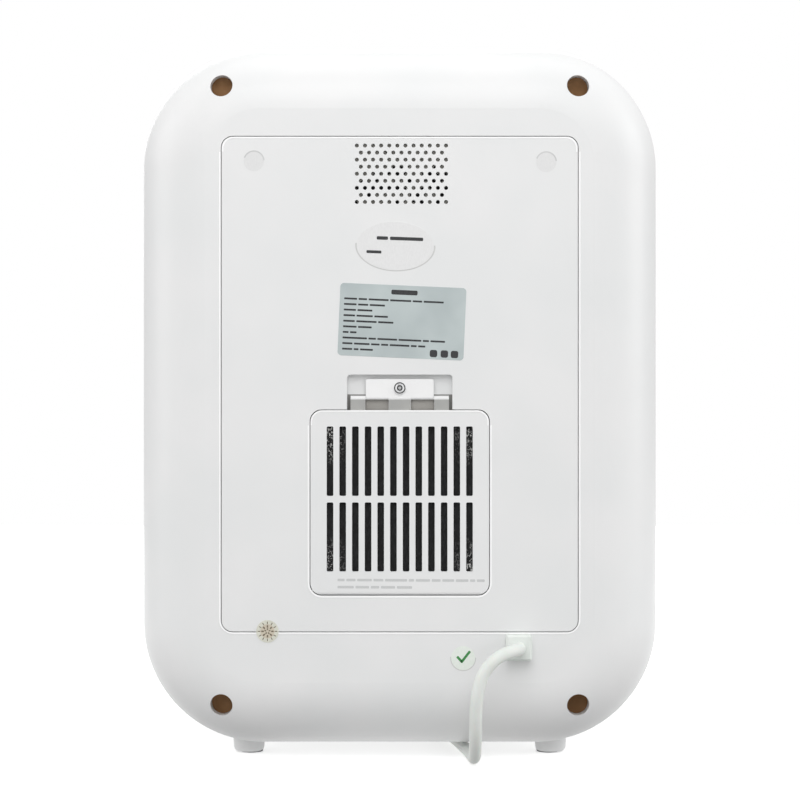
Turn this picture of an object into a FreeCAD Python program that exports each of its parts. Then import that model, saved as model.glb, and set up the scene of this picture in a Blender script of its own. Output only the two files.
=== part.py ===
import FreeCAD, Part
import math
import os

# Cabinet sterilizer for baby bottles, in millimetres.
# +Z is up, the door faces -Y, the photographed back faces +Y, and the origin is on
# the floor under the middle of the appliance.

V = FreeCAD.Vector
AXES = {"x": V(1, 0, 0), "y": V(0, 1, 0), "z": V(0, 0, 1)}

# Outer size of the cabinet
WIDTH = 310.0
HEIGHT = 428.0
HALF_DEPTH = 172.0
FOOT_HEIGHT = 9.0
CORNER_R = 72.5
WALL = 2.6
HALF_WIDTH = WIDTH / 2
CORNER_X = HALF_WIDTH - CORNER_R
TOP_CORNER_Z = HEIGHT - CORNER_R
LOW_CORNER_Z = FOOT_HEIGHT + CORNER_R

# Stations along the depth, from the back to the front
REAR_Y = HALF_DEPTH
REAR_ROUND = 40.0
REAR_WALL = 3.0
SEAM_Y = 96.0
FRAME_BACK_Y = -109.0
FRAME_FRONT_Y = -117.0
DOOR_GAP = 1.5
DOOR_BACK_Y = FRAME_FRONT_Y - DOOR_GAP
FRONT_Y = -146.0
FRONT_ROUND = 14.0
FRONT_WALL = 2.8
HANDLE_Y = -HALF_DEPTH
DOOR_LOW_Z = 88.0
FASCIA_TOP_Z = 86.0

# Service panel in the back
PANEL_HALF_W = 105.5
PANEL_LOW_Z = 78.9
PANEL_TOP_Z = 371.7
PANEL_R = 7.0
PANEL_GAP = 0.5
LEDGE_IN = 6.0
PANEL_SCREW_X = 86.1
PANEL_SCREW_Z = 356.5
CAP_R = 5.6

# Screw wells in the four corners of the back
WELL_X = 105.6
WELL_TOP_Z = 402.0
WELL_LOW_Z = 35.4
WELL_R = 6.7
WELL_PLUG_FACE_Y = 153.0

# Filter cover, its latch and the bay behind it
COVER_HALF_W = 52.7
COVER_LOW_Z = 100.9
COVER_TOP_Z = 209.9
COVER_R = 7.0
COVER_T = 2.8
COVER_GAP = 0.4
COVER_ROUND = 1.9
COVER_AXIS_Y = REAR_Y - COVER_ROUND
COVER_AXIS_Z = COVER_LOW_Z + COVER_ROUND
BAY_WALL = 2.0
BAY_BACK_Y = 148.0
LATCH_HALF_W = 31.1
LATCH_TOP_Z = 230.9
LATCH_FLOOR_Y = 167.0
TAB_FRONT_Y = 170.2
TAB_T = 2.2
TAB_HALF_W = 20.1
TAB_LOW_Z = 217.0
TAB_TOP_Z = 228.3
STRIP_HALF_W = 29.05
LEG_INNER_X = 20.5
MIDDLE_LEG_HALF_W = 6.5
SCREW_Z = 223.0
LOBE_AWAY = 1.1
SLOT_PITCH = 7.48
SLOT_W = 3.9

# Vent holes above the labels
VENT_PITCH_X = 4.78
VENT_PITCH_Z = 4.16
VENT_R = 1.2
VENT_LOW_Z = 332.7
VENT_X = -1.0

# Steel chamber
CHAMBER_HALF_W = 130.0
CHAMBER_LOW_Z = 96.0
CHAMBER_TOP_Z = 400.0
CHAMBER_BACK_Y = 84.0
CHAMBER_TOP_R = 48.0
CHAMBER_LOW_R = 12.0
SHEET = 1.2

# Fan behind the filter
FAN_Z = 155.4
FAN_HALF = 46.0
FAN_FRONT_Y = 123.0
FAN_BORE_R = 44.0
HUB_R = 19.0
BLADES = 7

# Door
HINGE_X = -146.5
HINGE_R = 8.5
HINGE_Y = DOOR_BACK_Y - HINGE_R
STILE_X = -137.5
KNUCKLE_R = 5.5
KNUCKLE_H = 24.0
KNUCKLE_ZS = (130.0, 330.0)
PIN_R = 2.0
GLASS_HALF_W = 116.0
GLASS_LOW_Z = 106.0
GLASS_TOP_Z = 404.0
GLASS_R = 46.0
GLASS_T = 3.0
HANDLE_X = 131.0
HANDLE_Z = 256.0

# Controls on the lower front
CONTROL_Z = 52.0
BUTTON_XS = {"power_button": -74.0, "mode_button": -46.0, "time_button": 46.0, "dry_button": 74.0}
BUTTON_R = 7.2
BUTTON_PROUD = 1.2
CONTROL_HALF_H = 20.0

# Feet
FOOT_X = 91.0
FOOT_YS = (-95.0, 112.0)

# Supply cord
CORD_D = 7.4
CORD_R = CORD_D / 2
EXIT_X = -70.0
EXIT_Z = 70.5
RELIEF_Y = 181.0
RELIEF_HALF = 7.6
COIL_CENTRE = (34.0, -203.0)
COIL_OUTER_R = 45.5
COIL_PITCH = 8.0
COIL_LAYER = 8.1
COIL_TURNS = 4.25
COIL_START_DEG = 180.0
PLUG_FACE_X = 44.0
PIN_ROOT_X = 40.0
EARTH_PIN_AT = (0, -5.4)
EARTH_PIN_R = 2.4
EARTH_PIN_NECK = 0.3
EARTH_PIN_END_X = 62.0
PLUG_HALF_H = 10.5

# Places of repeated small parts
BOARD_Z = 26.0
BOARD_POST_XS = (-71.6, 71.6)
BOARD_POST_YS = (-70.0, 40.0)
BASE_SCREWS = [(x, y) for x in (-70.0, 70.0) for y in (-90.0, 70.0)]
FAN_SCREWS = [(x, FAN_Z + z) for x in (-41.0, 41.0) for z in (-41.0, 41.0)]
MAGNETS = [(143.0, 130.0), (143.0, 256.0), (143.0, 350.0)]
HANDLE_POST_ZS = (HANDLE_Z - 52.0, HANDLE_Z + 52.0)
LINER_Y = DOOR_BACK_Y - 2.5
CONTROL_HALF_W = 98.0
CONTROL_BOARD_Y = -134.0
CONTROL_POSTS = ((-99.0, 42.0), (-99.0, 62.0), (99.0, 42.0), (99.0, 62.0))
RACK_ZS = (132.0, 262.0)
UV_Y = -12.0

# Route of the free cord: out of the strain relief, down the back, under the cabinet
# to the coil, and from the coil to the plug
LEAD_ROUTE = [
    (-70.0, 181.0, 70.5),
    (-70.0, 190.0, 70.5),
    (-65.4, 199.8, 70.8),
    (-55.9, 205.0, 67.8),
    (-47.8, 206.4, 58.8),
    (-44.6, 206.0, 47.2),
    (-43.8, 203.2, 33.8),
    (-43.9, 196.8, 20.4),
    (-44.1, 185.6, 9.2),
    (-43.9, 169.6, 3.7),
    (-42.4, 144.0, 3.7),
    (-37.8, 106.0, 3.7),
    (-30.4, 58.0, 3.7),
    (-21.8, 8.0, 3.7),
    (-15.2, -42.0, 3.7),
    (-11.8, -92.0, 3.7),
    (-10.6, -134.0, 3.7),
    (-11.0, -166.0, 3.7),
]
TAIL_ROUTE = [
    (60.0, -249.2, 11.6),
    (77.0, -245.6, 9.8),
    (91.0, -237.0, 8.0),
    (102.0, -225.0, 8.0),
]


# Basic solids

def block(x0, x1, y0, y1, z0, z1):
    """Box between two opposite corners."""
    return Part.makeBox(x1 - x0, y1 - y0, z1 - z0, V(x0, y0, z0))


def rod(axis, at, r, start, end):
    """Round bar along x, y or z; at holds the other two coordinates in order."""
    places = {"x": lambda: V(start, at[0], at[1]),
              "y": lambda: V(at[0], start, at[1]),
              "z": lambda: V(at[0], at[1], start)}
    return Part.makeCylinder(r, end - start, places[axis](), AXES[axis])


def taper(axis, at, r_start, r_end, start, end):
    """Round bar whose radius changes from start to end."""
    places = {"x": lambda: V(start, at[0], at[1]),
              "y": lambda: V(at[0], start, at[1]),
              "z": lambda: V(at[0], at[1], start)}
    return Part.makeCone(r_start, r_end, end - start, places[axis](), AXES[axis])


def corner_arc(cx, cz, r, y, start_deg):
    """Quarter arc in a plane of constant y, counted from +X towards +Z."""
    points = []
    for step in (0, 45, 90):
        angle = math.radians(start_deg + step)
        points.append(V(cx + r * math.cos(angle), y, cz + r * math.sin(angle)))
    return Part.Arc(*points).toShape()


def rounded_wire(x0, x1, z0, z1, r_top, r_low, y):
    """Closed rectangle with rounded corners in a plane of constant y."""
    arcs = [corner_arc(x1 - r_top, z1 - r_top, r_top, y, 0),
            corner_arc(x0 + r_top, z1 - r_top, r_top, y, 90),
            corner_arc(x0 + r_low, z0 + r_low, r_low, y, 180),
            corner_arc(x1 - r_low, z0 + r_low, r_low, y, 270)]
    edges = []
    for index, arc in enumerate(arcs):
        edges.append(arc)
        here = arc.Vertexes[1].Point
        there = arcs[(index + 1) % 4].Vertexes[0].Point
        if here.distanceToPoint(there) > 1e-6:
            edges.append(Part.LineSegment(here, there).toShape())
    return Part.Wire(edges)


def slab(x0, x1, z0, z1, y0, y1, r_top, r_low=None):
    """Rounded rectangle pushed from y0 to y1."""
    r_low = r_top if r_low is None else r_low
    face = Part.Face(rounded_wire(x0, x1, z0, z1, r_top, r_low, y0))
    return face.extrude(V(0, y1 - y0, 0))


def silhouette(inset, y0, y1):
    """Outline of the cabinet as seen from the back, drawn in by inset."""
    half = HALF_WIDTH - inset
    return slab(-half, half, FOOT_HEIGHT + inset, HEIGHT - inset, y0, y1, CORNER_R - inset)


def tray_slab(x0, x1, y0, y1, z0, z1, radius):
    """Rounded rectangle lying flat, pushed from z0 to z1."""
    solid = slab(x0, x1, -y1, -y0, z0, z1, radius)
    solid.rotate(V(0, 0, 0), V(1, 0, 0), 90)
    return solid


def round_rim(solid, y, radius):
    """The solid with the edges that lie in the plane at y rounded."""
    rim = [edge for edge in solid.Edges
           if all(abs(vertex.Y - y) < 1e-6 for vertex in edge.Vertexes)]
    return solid.makeFillet(radius, rim)


def rounded_silhouette(inset, y0, y1, end_y, radius):
    """Outline solid whose rim at end_y is rounded."""
    return round_rim(silhouette(inset, y0, y1), end_y, radius)


def fuse(shapes):
    """One solid from overlapping shapes."""
    body = shapes[0].fuse(shapes[1:]) if len(shapes) > 1 else shapes[0]
    return body.removeSplitter()


def cut(body, tools):
    """Body without the tools."""
    return body.cut(tools)


def both_sides(shape):
    """The shape and its mirror image across the middle plane."""
    return [shape, shape.mirror(V(0, 0, 0), V(1, 0, 0))]


def group(shapes):
    """Separate solids that share one node."""
    return Part.makeCompound(shapes)


def four_corners(x, z_pair):
    """Places at plus and minus x for each height."""
    return [(side * x, z) for z in z_pair for side in (-1, 1)]


def pan_screw(axis, at, seat, direction, length=9.0, head_r=2.9, head_h=2.0, shank_r=1.5):
    """Small pan-head screw; direction is the way the shank points along its axis."""
    if direction > 0:
        head = rod(axis, at, head_r, seat - head_h, seat)
        shank = rod(axis, at, shank_r, seat, seat + length)
    else:
        head = rod(axis, at, head_r, seat, seat + head_h)
        shank = rod(axis, at, shank_r, seat - length, seat)
    return fuse([head, shank])


# Casing

def corner_web(x, z, reach, y0, y1):
    """Thin rib from a screw boss out to the rounded corner of the casing."""
    cx = math.copysign(CORNER_X, x)
    cz = TOP_CORNER_Z if z > HEIGHT / 2 else LOW_CORNER_Z
    angle = math.degrees(math.atan2(z - cz, x - cx))
    rib = block(0, reach, y0, y1, -1.2, 1.2)
    rib.rotate(V(0, 0, 0), V(0, -1, 0), angle)
    rib.translate(V(x, 0, z))
    return rib


def foot_post(x, y):
    """Moulded foot that narrows to its pad."""
    post = taper("z", (x, y), 7.4, 9.3, 2.2, 14.0)
    return cut(post, [rod("z", (x, y), 2.6, 0, 8.0), silhouette(1.0, y - 20, y + 20)])


def main_housing():
    """Middle of the cabinet: a tube with the lip of the seam, screw bosses, board posts and front feet."""
    tube = cut(silhouette(0, FRAME_BACK_Y, SEAM_Y), [silhouette(WALL, FRAME_BACK_Y - 1, SEAM_Y + 1)])
    lip_root = cut(silhouette(WALL - 0.3, SEAM_Y - 5, SEAM_Y),
                   [silhouette(WALL + 1.8, SEAM_Y - 6, SEAM_Y + 1)])
    lip = cut(silhouette(WALL + 0.15, SEAM_Y - 1, SEAM_Y + 3),
              [silhouette(WALL + 1.8, SEAM_Y - 2, SEAM_Y + 4)])
    pieces = [tube, lip_root, lip]
    for x, z in four_corners(WELL_X, (WELL_LOW_Z, WELL_TOP_Z)):
        pieces.append(rod("y", (x, z), 5.0, SEAM_Y - 26, SEAM_Y))
        pieces.append(corner_web(x, z, 21.0, SEAM_Y - 26, SEAM_Y - 0.5).common(
            silhouette(1.0, SEAM_Y - 27, SEAM_Y)))
    pieces.append(block(-78, 78, -98, 78, FOOT_HEIGHT + 1.0, FOOT_HEIGHT + WALL + 2.2))
    for x in BOARD_POST_XS:
        for y in BOARD_POST_YS:
            pieces.append(rod("z", (x, y), 3.4, FOOT_HEIGHT + WALL + 2.0, BOARD_Z))
    for side in (-1, 1):
        pieces.append(foot_post(side * FOOT_X, FOOT_YS[0]))
    body = fuse(pieces)
    holes = [block(-74.5, 74.5, -94.5, 74.5, FOOT_HEIGHT - 1, FOOT_HEIGHT + WALL),
             block(-66, 66, -86, 66, FOOT_HEIGHT, FOOT_HEIGHT + WALL + 3)]
    holes += [rod("z", at, 1.6, FOOT_HEIGHT, FOOT_HEIGHT + 8) for at in BASE_SCREWS]
    holes += [rod("z", (x, y), 1.6, BOARD_Z - 7, BOARD_Z + 1) for x in BOARD_POST_XS for y in BOARD_POST_YS]
    for x, z in four_corners(WELL_X, (WELL_LOW_Z, WELL_TOP_Z)):
        holes.append(rod("y", (x, z), 2.0, SEAM_Y - 24, SEAM_Y + 4))
    return cut(body, holes)


def rear_shell():
    """Rear third of the cabinet, with the opening for the panel, the four screw wells and the rear feet."""
    outer = rounded_silhouette(0, SEAM_Y, REAR_Y, REAR_Y, REAR_ROUND)
    inner = rounded_silhouette(WALL, SEAM_Y - 1, REAR_Y - REAR_WALL, REAR_Y - REAR_WALL,
                               REAR_ROUND - WALL)
    pieces = [cut(outer, [inner])]
    ledge = slab(-PANEL_HALF_W - 2.5, PANEL_HALF_W + 2.5, PANEL_LOW_Z - 2.5, PANEL_TOP_Z + 2.5,
                 REAR_Y - 6, REAR_Y - 2.8, PANEL_R + 2.5)
    pieces.append(ledge)
    post_back_y = REAR_Y - 12
    for side in (-1, 1):
        x = side * PANEL_SCREW_X
        pieces.append(rod("y", (x, PANEL_SCREW_Z), 5.0, post_back_y - 14, post_back_y))
        web = block(x - 1.3, x + 1.3, post_back_y - 14, post_back_y, PANEL_SCREW_Z, HEIGHT)
        pieces.append(web.common(outer))
    wells = []
    for x, z in four_corners(WELL_X, (WELL_LOW_Z, WELL_TOP_Z)):
        wells.append(rod("y", (x, z), WELL_R + 2, SEAM_Y, REAR_Y).common(outer))
    for side in (-1, 1):
        pieces.append(foot_post(side * FOOT_X, FOOT_YS[1]))
    body = fuse(pieces + wells)
    holes = [slab(-PANEL_HALF_W, PANEL_HALF_W, PANEL_LOW_Z, PANEL_TOP_Z,
                  REAR_Y - REAR_WALL, REAR_Y + 1, PANEL_R),
             slab(-PANEL_HALF_W + LEDGE_IN, PANEL_HALF_W - LEDGE_IN, PANEL_LOW_Z + LEDGE_IN,
                  PANEL_TOP_Z - LEDGE_IN, REAR_Y - 8, REAR_Y + 1, PANEL_R - 3),
             block(-36.5, 36.5, REAR_Y - 8, REAR_Y - 2, PANEL_TOP_Z - 12, PANEL_TOP_Z - 0.6),
             block(EXIT_X - 5.6, EXIT_X + 5.6, REAR_Y - 8, REAR_Y + 1, EXIT_Z - 5.6, EXIT_Z + 5.6)]
    for x, z in four_corners(WELL_X, (WELL_LOW_Z, WELL_TOP_Z)):
        holes.append(rod("y", (x, z), WELL_R, SEAM_Y + 4, REAR_Y + 1))
        holes.append(rod("y", (x, z), 2.1, SEAM_Y - 1, SEAM_Y + 5))
    for side in (-1, 1):
        holes.append(rod("y", (side * PANEL_SCREW_X, PANEL_SCREW_Z), 1.6,
                         post_back_y - 12, post_back_y + 1))
    return cut(body, holes)


def base_plate():
    """Louvred plate that closes the cabinet from below."""
    plate = block(-74, 74, -94, 74, FOOT_HEIGHT, FOOT_HEIGHT + WALL)
    holes = []
    for row in range(-3, 4):
        for x in (-38, 0, 38):
            if abs(row) == 3 and x == 0:
                continue
            holes.append(block(x - 14, x + 14, row * 12 - 12, row * 12 - 8.4,
                               FOOT_HEIGHT - 1, FOOT_HEIGHT + WALL + 1))
    for x, y in BASE_SCREWS:
        holes.append(rod("z", (x, y), 1.7, FOOT_HEIGHT - 1, FOOT_HEIGHT + WALL + 1))
        holes.append(rod("z", (x, y), 3.1, FOOT_HEIGHT - 1, FOOT_HEIGHT + 1.4))
    return cut(plate, holes)


def foot_pads():
    """Rubber pads, each with a stem pressed into its foot."""
    pads = []
    for x in (-FOOT_X, FOOT_X):
        for y in FOOT_YS:
            disc = rod("z", (x, y), 7.0, 0, 2.1)
            rim = [edge for edge in disc.Edges
                   if all(abs(vertex.Z) < 1e-6 for vertex in edge.Vertexes) and edge.Length > 30]
            disc = disc.makeFillet(0.8, rim)
            pads.append(fuse([disc, rod("z", (x, y), 2.5, 1.0, 7.6)]))
    return group(pads)


def well_plugs():
    """Plugs over the screw heads in the four wells."""
    return group([rod("y", (x, z), WELL_R - 0.1, WELL_PLUG_FACE_Y - 4, WELL_PLUG_FACE_Y)
                  for x, z in four_corners(WELL_X, (WELL_LOW_Z, WELL_TOP_Z))])


def shell_screws():
    """Long screws that draw the rear shell onto the housing."""
    screws = []
    for x, z in four_corners(WELL_X, (WELL_LOW_Z, WELL_TOP_Z)):
        screws.append(pan_screw("y", (x, z), SEAM_Y + 4, -1, length=25.0, head_r=3.6,
                                head_h=2.6, shank_r=1.9))
    return group(screws)


# Service panel with the filter bay, the vent and the latch recess

def vent_holes():
    """Staggered rows of round holes."""
    holes = []
    for row in range(9):
        columns = 12 if row % 2 == 0 else 11
        for column in range(columns):
            x = VENT_X + (column - (columns - 1) / 2) * VENT_PITCH_X
            z = VENT_LOW_Z + row * VENT_PITCH_Z
            holes.append(rod("y", (x, z), VENT_R, REAR_Y - 4, REAR_Y + 1))
    return holes


def guard_slots():
    """Upright slots in the back wall of the bay, inside the circle of the fan."""
    slots = []
    for column in range(-5, 6):
        x = column * 7.4
        reach = math.sqrt(42.0 ** 2 - x ** 2)
        slots.append(block(x - 2.3, x + 2.3, BAY_BACK_Y - 1, BAY_BACK_Y + BAY_WALL + 1,
                           FAN_Z - reach, FAN_Z + reach))
    return slots


def rear_cover():
    """Service panel with the filter bay, the latch recess, the screw cups and the collar of the vent."""
    edge = PANEL_HALF_W - PANEL_GAP
    low = PANEL_LOW_Z + PANEL_GAP
    plate = slab(-edge, edge, low, PANEL_TOP_Z - PANEL_GAP, REAR_Y - REAR_WALL, REAR_Y,
                 PANEL_R - PANEL_GAP)
    bay_w = COVER_HALF_W + COVER_GAP
    bay_low = COVER_LOW_Z - COVER_GAP
    bay_top = COVER_TOP_Z + COVER_GAP
    tub = slab(-bay_w - BAY_WALL, bay_w + BAY_WALL, bay_low - BAY_WALL, bay_top + BAY_WALL,
               BAY_BACK_Y, REAR_Y - REAR_WALL + 0.2, COVER_R + BAY_WALL)
    recess_shell = block(-LATCH_HALF_W - 2, LATCH_HALF_W + 2, LATCH_FLOOR_Y - 2, REAR_Y - REAR_WALL + 0.2,
                         bay_top, LATCH_TOP_Z + 2)
    pieces = [plate, tub, recess_shell,
              rod("y", (0, SCREW_Z), 4.6, LATCH_FLOOR_Y - 9, LATCH_FLOOR_Y - 1)]
    for side in (-1, 1):
        pieces.append(rod("y", (side * PANEL_SCREW_X, PANEL_SCREW_Z), CAP_R + 2, REAR_Y - 12, REAR_Y - 2))
        x = side * 58
        pieces.append(block(x - 8, x + 8, REAR_Y - 9.4, REAR_Y - 2, PANEL_LOW_Z + 6.6, PANEL_LOW_Z + 10))
        pieces.append(block(x - 8, x + 8, REAR_Y - 9.4, REAR_Y - 6.2, PANEL_LOW_Z + 2, PANEL_LOW_Z + 10))
    collar = cut(block(-35.2, 35.2, REAR_Y - 9, REAR_Y - 2, 324.8, 373.0 - 2.6),
                 [block(-33.2, 33.2, REAR_Y - 10, REAR_Y - REAR_WALL, 326.8, 368.4)])
    pieces.append(collar)
    body = fuse(pieces)
    holes = [slab(-bay_w, bay_w, bay_low, bay_top, BAY_BACK_Y + BAY_WALL, REAR_Y + 1, COVER_R),
             slab(-LATCH_HALF_W, LATCH_HALF_W, bay_top - 12, LATCH_TOP_Z, LATCH_FLOOR_Y, REAR_Y + 1, 2.0),
             rod("y", (0, SCREW_Z), 2.3, LATCH_FLOOR_Y - 8, LATCH_FLOOR_Y + 1),
             rod("x", (COVER_AXIS_Y, COVER_AXIS_Z), 1.25, -bay_w - 1.7, bay_w + 1.7)]
    for side in (-1, 1):
        at = (side * PANEL_SCREW_X, PANEL_SCREW_Z)
        holes.append(rod("y", at, CAP_R, REAR_Y - 9, REAR_Y + 1))
        holes.append(rod("y", at, 1.7, REAR_Y - 13, REAR_Y - 8))
    for x, z in FAN_SCREWS:
        holes.append(rod("y", (x, z), 1.7, BAY_BACK_Y - 1, BAY_BACK_Y + BAY_WALL + 1))
    return cut(body, holes + vent_holes() + guard_slots())


def screw_caps():
    """Flush caps over the two screws of the panel."""
    caps = []
    for side in (-1, 1):
        cap = rod("y", (side * PANEL_SCREW_X, PANEL_SCREW_Z), CAP_R - 0.25, REAR_Y - 3.2, REAR_Y)
        caps.append(round_rim(cap, REAR_Y, 0.35))
    return group(caps)


# Filter cover and what it carries

def cover_slots():
    """Two rows of upright slots."""
    slots = []
    for z0, z1 in ((114.7, 155.5), (159.3, 200.3)):
        for column in range(12):
            x = (column - 5.5) * SLOT_PITCH
            slots.append(slab(x - SLOT_W / 2, x + SLOT_W / 2, z0, z1, REAR_Y - 4, REAR_Y + 1, 0.8))
    return slots


def filter_cover():
    """Slotted hatch with trunnions at its lower edge and a latch tab on three spring legs."""
    back = REAR_Y - COVER_T
    plate = slab(-COVER_HALF_W, COVER_HALF_W, COVER_LOW_Z, COVER_TOP_Z, back, REAR_Y, COVER_R)
    corner = block(-60, 60, COVER_AXIS_Y, REAR_Y + 1, COVER_LOW_Z - 1, COVER_AXIS_Z)
    round_edge = rod("x", (COVER_AXIS_Y, COVER_AXIS_Z), COVER_ROUND, -61, 61)
    plate = cut(plate, [cut(corner, [round_edge])])
    tab_back = TAB_FRONT_Y - TAB_T
    pieces = [plate,
              slab(-TAB_HALF_W, TAB_HALF_W, TAB_LOW_Z, TAB_TOP_Z, tab_back, TAB_FRONT_Y, 1.2),
              block(-STRIP_HALF_W, STRIP_HALF_W, tab_back, TAB_FRONT_Y - 0.4,
                    TAB_LOW_Z - 0.7, TAB_LOW_Z + 1.4)]
    for x0, x1 in ((-STRIP_HALF_W, -LEG_INNER_X),
                   (-MIDDLE_LEG_HALF_W, MIDDLE_LEG_HALF_W),
                   (LEG_INNER_X, STRIP_HALF_W)):
        pieces.append(block(x0, x1, back, back + 1.5, COVER_TOP_Z - 1.0, TAB_LOW_Z))
    for side in (-1, 1):
        x = side * (COVER_HALF_W - 1.5)
        end = side * (COVER_HALF_W + 1.5)
        pieces.append(rod("x", (COVER_AXIS_Y, COVER_AXIS_Z), 1.2, min(x, end), max(x, end)))
    body = fuse(pieces)
    return cut(body, cover_slots() + [rod("y", (0, SCREW_Z), 1.7, back - 3, REAR_Y)])


def filter_frame():
    """Shallow open box that holds the filter against the hatch."""
    outer = slab(-50.5, 50.5, 105.0, 206.6, REAR_Y - 18, REAR_Y - COVER_T, 5.0)
    core = slab(-48.0, 48.0, 107.5, 204.1, REAR_Y - 17, REAR_Y, 3.0)
    back = slab(-45.0, 45.0, 110.5, 201.1, REAR_Y - 19, REAR_Y, 2.0)
    return cut(outer, [core, back])


def filter_element():
    """Pleated carbon block: folds run from side to side."""
    front = REAR_Y - COVER_T - 0.3
    back = REAR_Y - 16.8
    body = slab(-47.8, 47.8, 107.7, 203.9, back, front, 2.8)
    valleys = []
    for fold in range(11):
        z = 112.0 + fold * 8.76
        peak = Part.makePolygon([V(-49, back - 1, z - 2.6), V(-49, back - 1, z + 2.6),
                                 V(-49, back + 9.0, z), V(-49, back - 1, z - 2.6)])
        valleys.append(Part.Face(peak).extrude(V(98, 0, 0)))
    return cut(body, valleys)


def filter_screw():
    """Latch screw with a three-lobed socket."""
    screw = pan_screw("y", (0, SCREW_Z), TAB_FRONT_Y, -1, length=10.0, head_r=3.45, head_h=1.6)
    lobes = []
    for degrees in (90, 210, 330):
        angle = math.radians(degrees)
        at = (LOBE_AWAY * math.cos(angle), SCREW_Z + LOBE_AWAY * math.sin(angle))
        lobes.append(rod("y", at, 0.75, TAB_FRONT_Y + 0.5, REAR_Y + 1))
    return cut(screw, lobes)


# Air path: filter, fan, heater, duct, chamber, exhaust duct, vent

def fan_frame():
    """Square frame of the fan with four arms that carry the motor."""
    y0, y1 = FAN_FRONT_Y, BAY_BACK_Y
    frame = slab(-FAN_HALF, FAN_HALF, FAN_Z - FAN_HALF, FAN_Z + FAN_HALF, y0, y1, 4.0)
    frame = cut(frame, [rod("y", (0, FAN_Z), FAN_BORE_R, y0 - 1, y1 + 1)])
    pieces = [frame, rod("y", (0, FAN_Z), 18.0, y0, y0 + 3.0)]
    for spoke in range(4):
        arm = block(10, 45, y0, y0 + 3.0, -2, 2)
        arm.rotate(V(0, 0, 0), V(0, 1, 0), 45 + 90 * spoke)
        arm.translate(V(0, 0, FAN_Z))
        pieces.append(arm)
    body = fuse(pieces)
    holes = [rod("y", at, 1.7, y0 - 1, y1 + 1) for at in FAN_SCREWS]
    holes.append(rod("y", (0, FAN_Z), 1.56, y0 + 1.0, y0 + 5))
    return cut(body, holes)


def fan_motor():
    """Four-pole stator in the hub."""
    stator = rod("y", (0, FAN_Z), 15.5, FAN_FRONT_Y + 3.0, FAN_FRONT_Y + 17.0)
    poles = []
    for pole in range(4):
        gap = block(9.0, 16.5, FAN_FRONT_Y + 5.0, FAN_FRONT_Y + 18.0, -1.6, 1.6)
        gap.rotate(V(0, 0, 0), V(0, 1, 0), 90 * pole)
        gap.translate(V(0, 0, FAN_Z))
        poles.append(gap)
    bore = rod("y", (0, FAN_Z), 1.56, FAN_FRONT_Y + 2.0, FAN_FRONT_Y + 18.0)
    return cut(stator, poles + [bore])


def fan_rotor():
    """Hub with its shaft and slanted blades."""
    y0 = FAN_FRONT_Y + 3.6
    y1 = BAY_BACK_Y - 1.6
    hub = cut(rod("y", (0, FAN_Z), HUB_R, y0, y1),
              [rod("y", (0, FAN_Z), HUB_R - 2.0, y0 - 1, y1 - 2.0)])
    pieces = [hub, rod("y", (0, FAN_Z), 1.5, FAN_FRONT_Y + 1.4, y1 - 1.0)]
    ring = cut(rod("y", (0, FAN_Z), 42.5, y0, y1), [rod("y", (0, FAN_Z), HUB_R - 1.0, y0, y1)])
    for number in range(BLADES):
        blade = block(HUB_R - 2, 44, -11.0, 11.0, -0.8, 0.8)
        blade.rotate(V(0, 0, 0), V(1, 0, 0), 52)
        blade.translate(V(0, (y0 + y1) / 2, 0))
        blade.rotate(V(0, 0, 0), V(0, 1, 0), 360.0 / BLADES * number)
        blade.translate(V(0, 0, FAN_Z))
        pieces.append(blade.common(ring))
    return fuse(pieces)


def fan_screws():
    """Screws that hold the duct, the fan and the bay together."""
    return group([pan_screw("y", at, FAN_FRONT_Y - 2.0, 1, length=28.5, head_r=2.9)
                  for at in FAN_SCREWS])


def air_duct():
    """Square duct from the fan to the chamber."""
    y0, y1 = CHAMBER_BACK_Y, FAN_FRONT_Y
    outer = slab(-50.0, 50.0, FAN_Z - 50, FAN_Z + 50, y0, y1, 6.0)
    inner = slab(-48.2, 48.2, FAN_Z - 48.2, FAN_Z + 48.2, y0 - 1, y1 - 2.0, 4.2)
    mouth = rod("y", (0, FAN_Z), FAN_BORE_R, y1 - 4, y1 + 1)
    holes = [rod("y", at, 1.7, y1 - 4, y1 + 1) for at in FAN_SCREWS]
    return cut(outer, [inner, mouth] + holes)


def ptc_heater():
    """Ceramic heater: a frame with upright fins."""
    y0, y1 = CHAMBER_BACK_Y + 9, CHAMBER_BACK_Y + 24
    frame = cut(block(-48, 48, y0, y1, FAN_Z - 30, FAN_Z + 30),
                [block(-44, 44, y0 - 1, y1 + 1, FAN_Z - 26, FAN_Z + 26)])
    pieces = [frame]
    for column in range(-8, 9):
        x = column * 5.2
        width = 2.0 if column % 4 == 0 else 0.5
        pieces.append(block(x - width, x + width, y0 + 1, y1 - 1, FAN_Z - 27, FAN_Z + 27))
    return fuse(pieces)


def thermostat():
    """Cut-out with two tags on the back of the chamber."""
    can = rod("y", (62, FAN_Z + 60), 9.0, CHAMBER_BACK_Y, CHAMBER_BACK_Y + 9)
    neck = rod("y", (62, FAN_Z + 60), 6.0, CHAMBER_BACK_Y + 8, CHAMBER_BACK_Y + 15)
    tags = [block(x - 0.5, x + 0.5, CHAMBER_BACK_Y + 14, CHAMBER_BACK_Y + 23, FAN_Z + 57, FAN_Z + 63)
            for x in (59, 65)]
    return fuse([can, neck] + tags)


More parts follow.
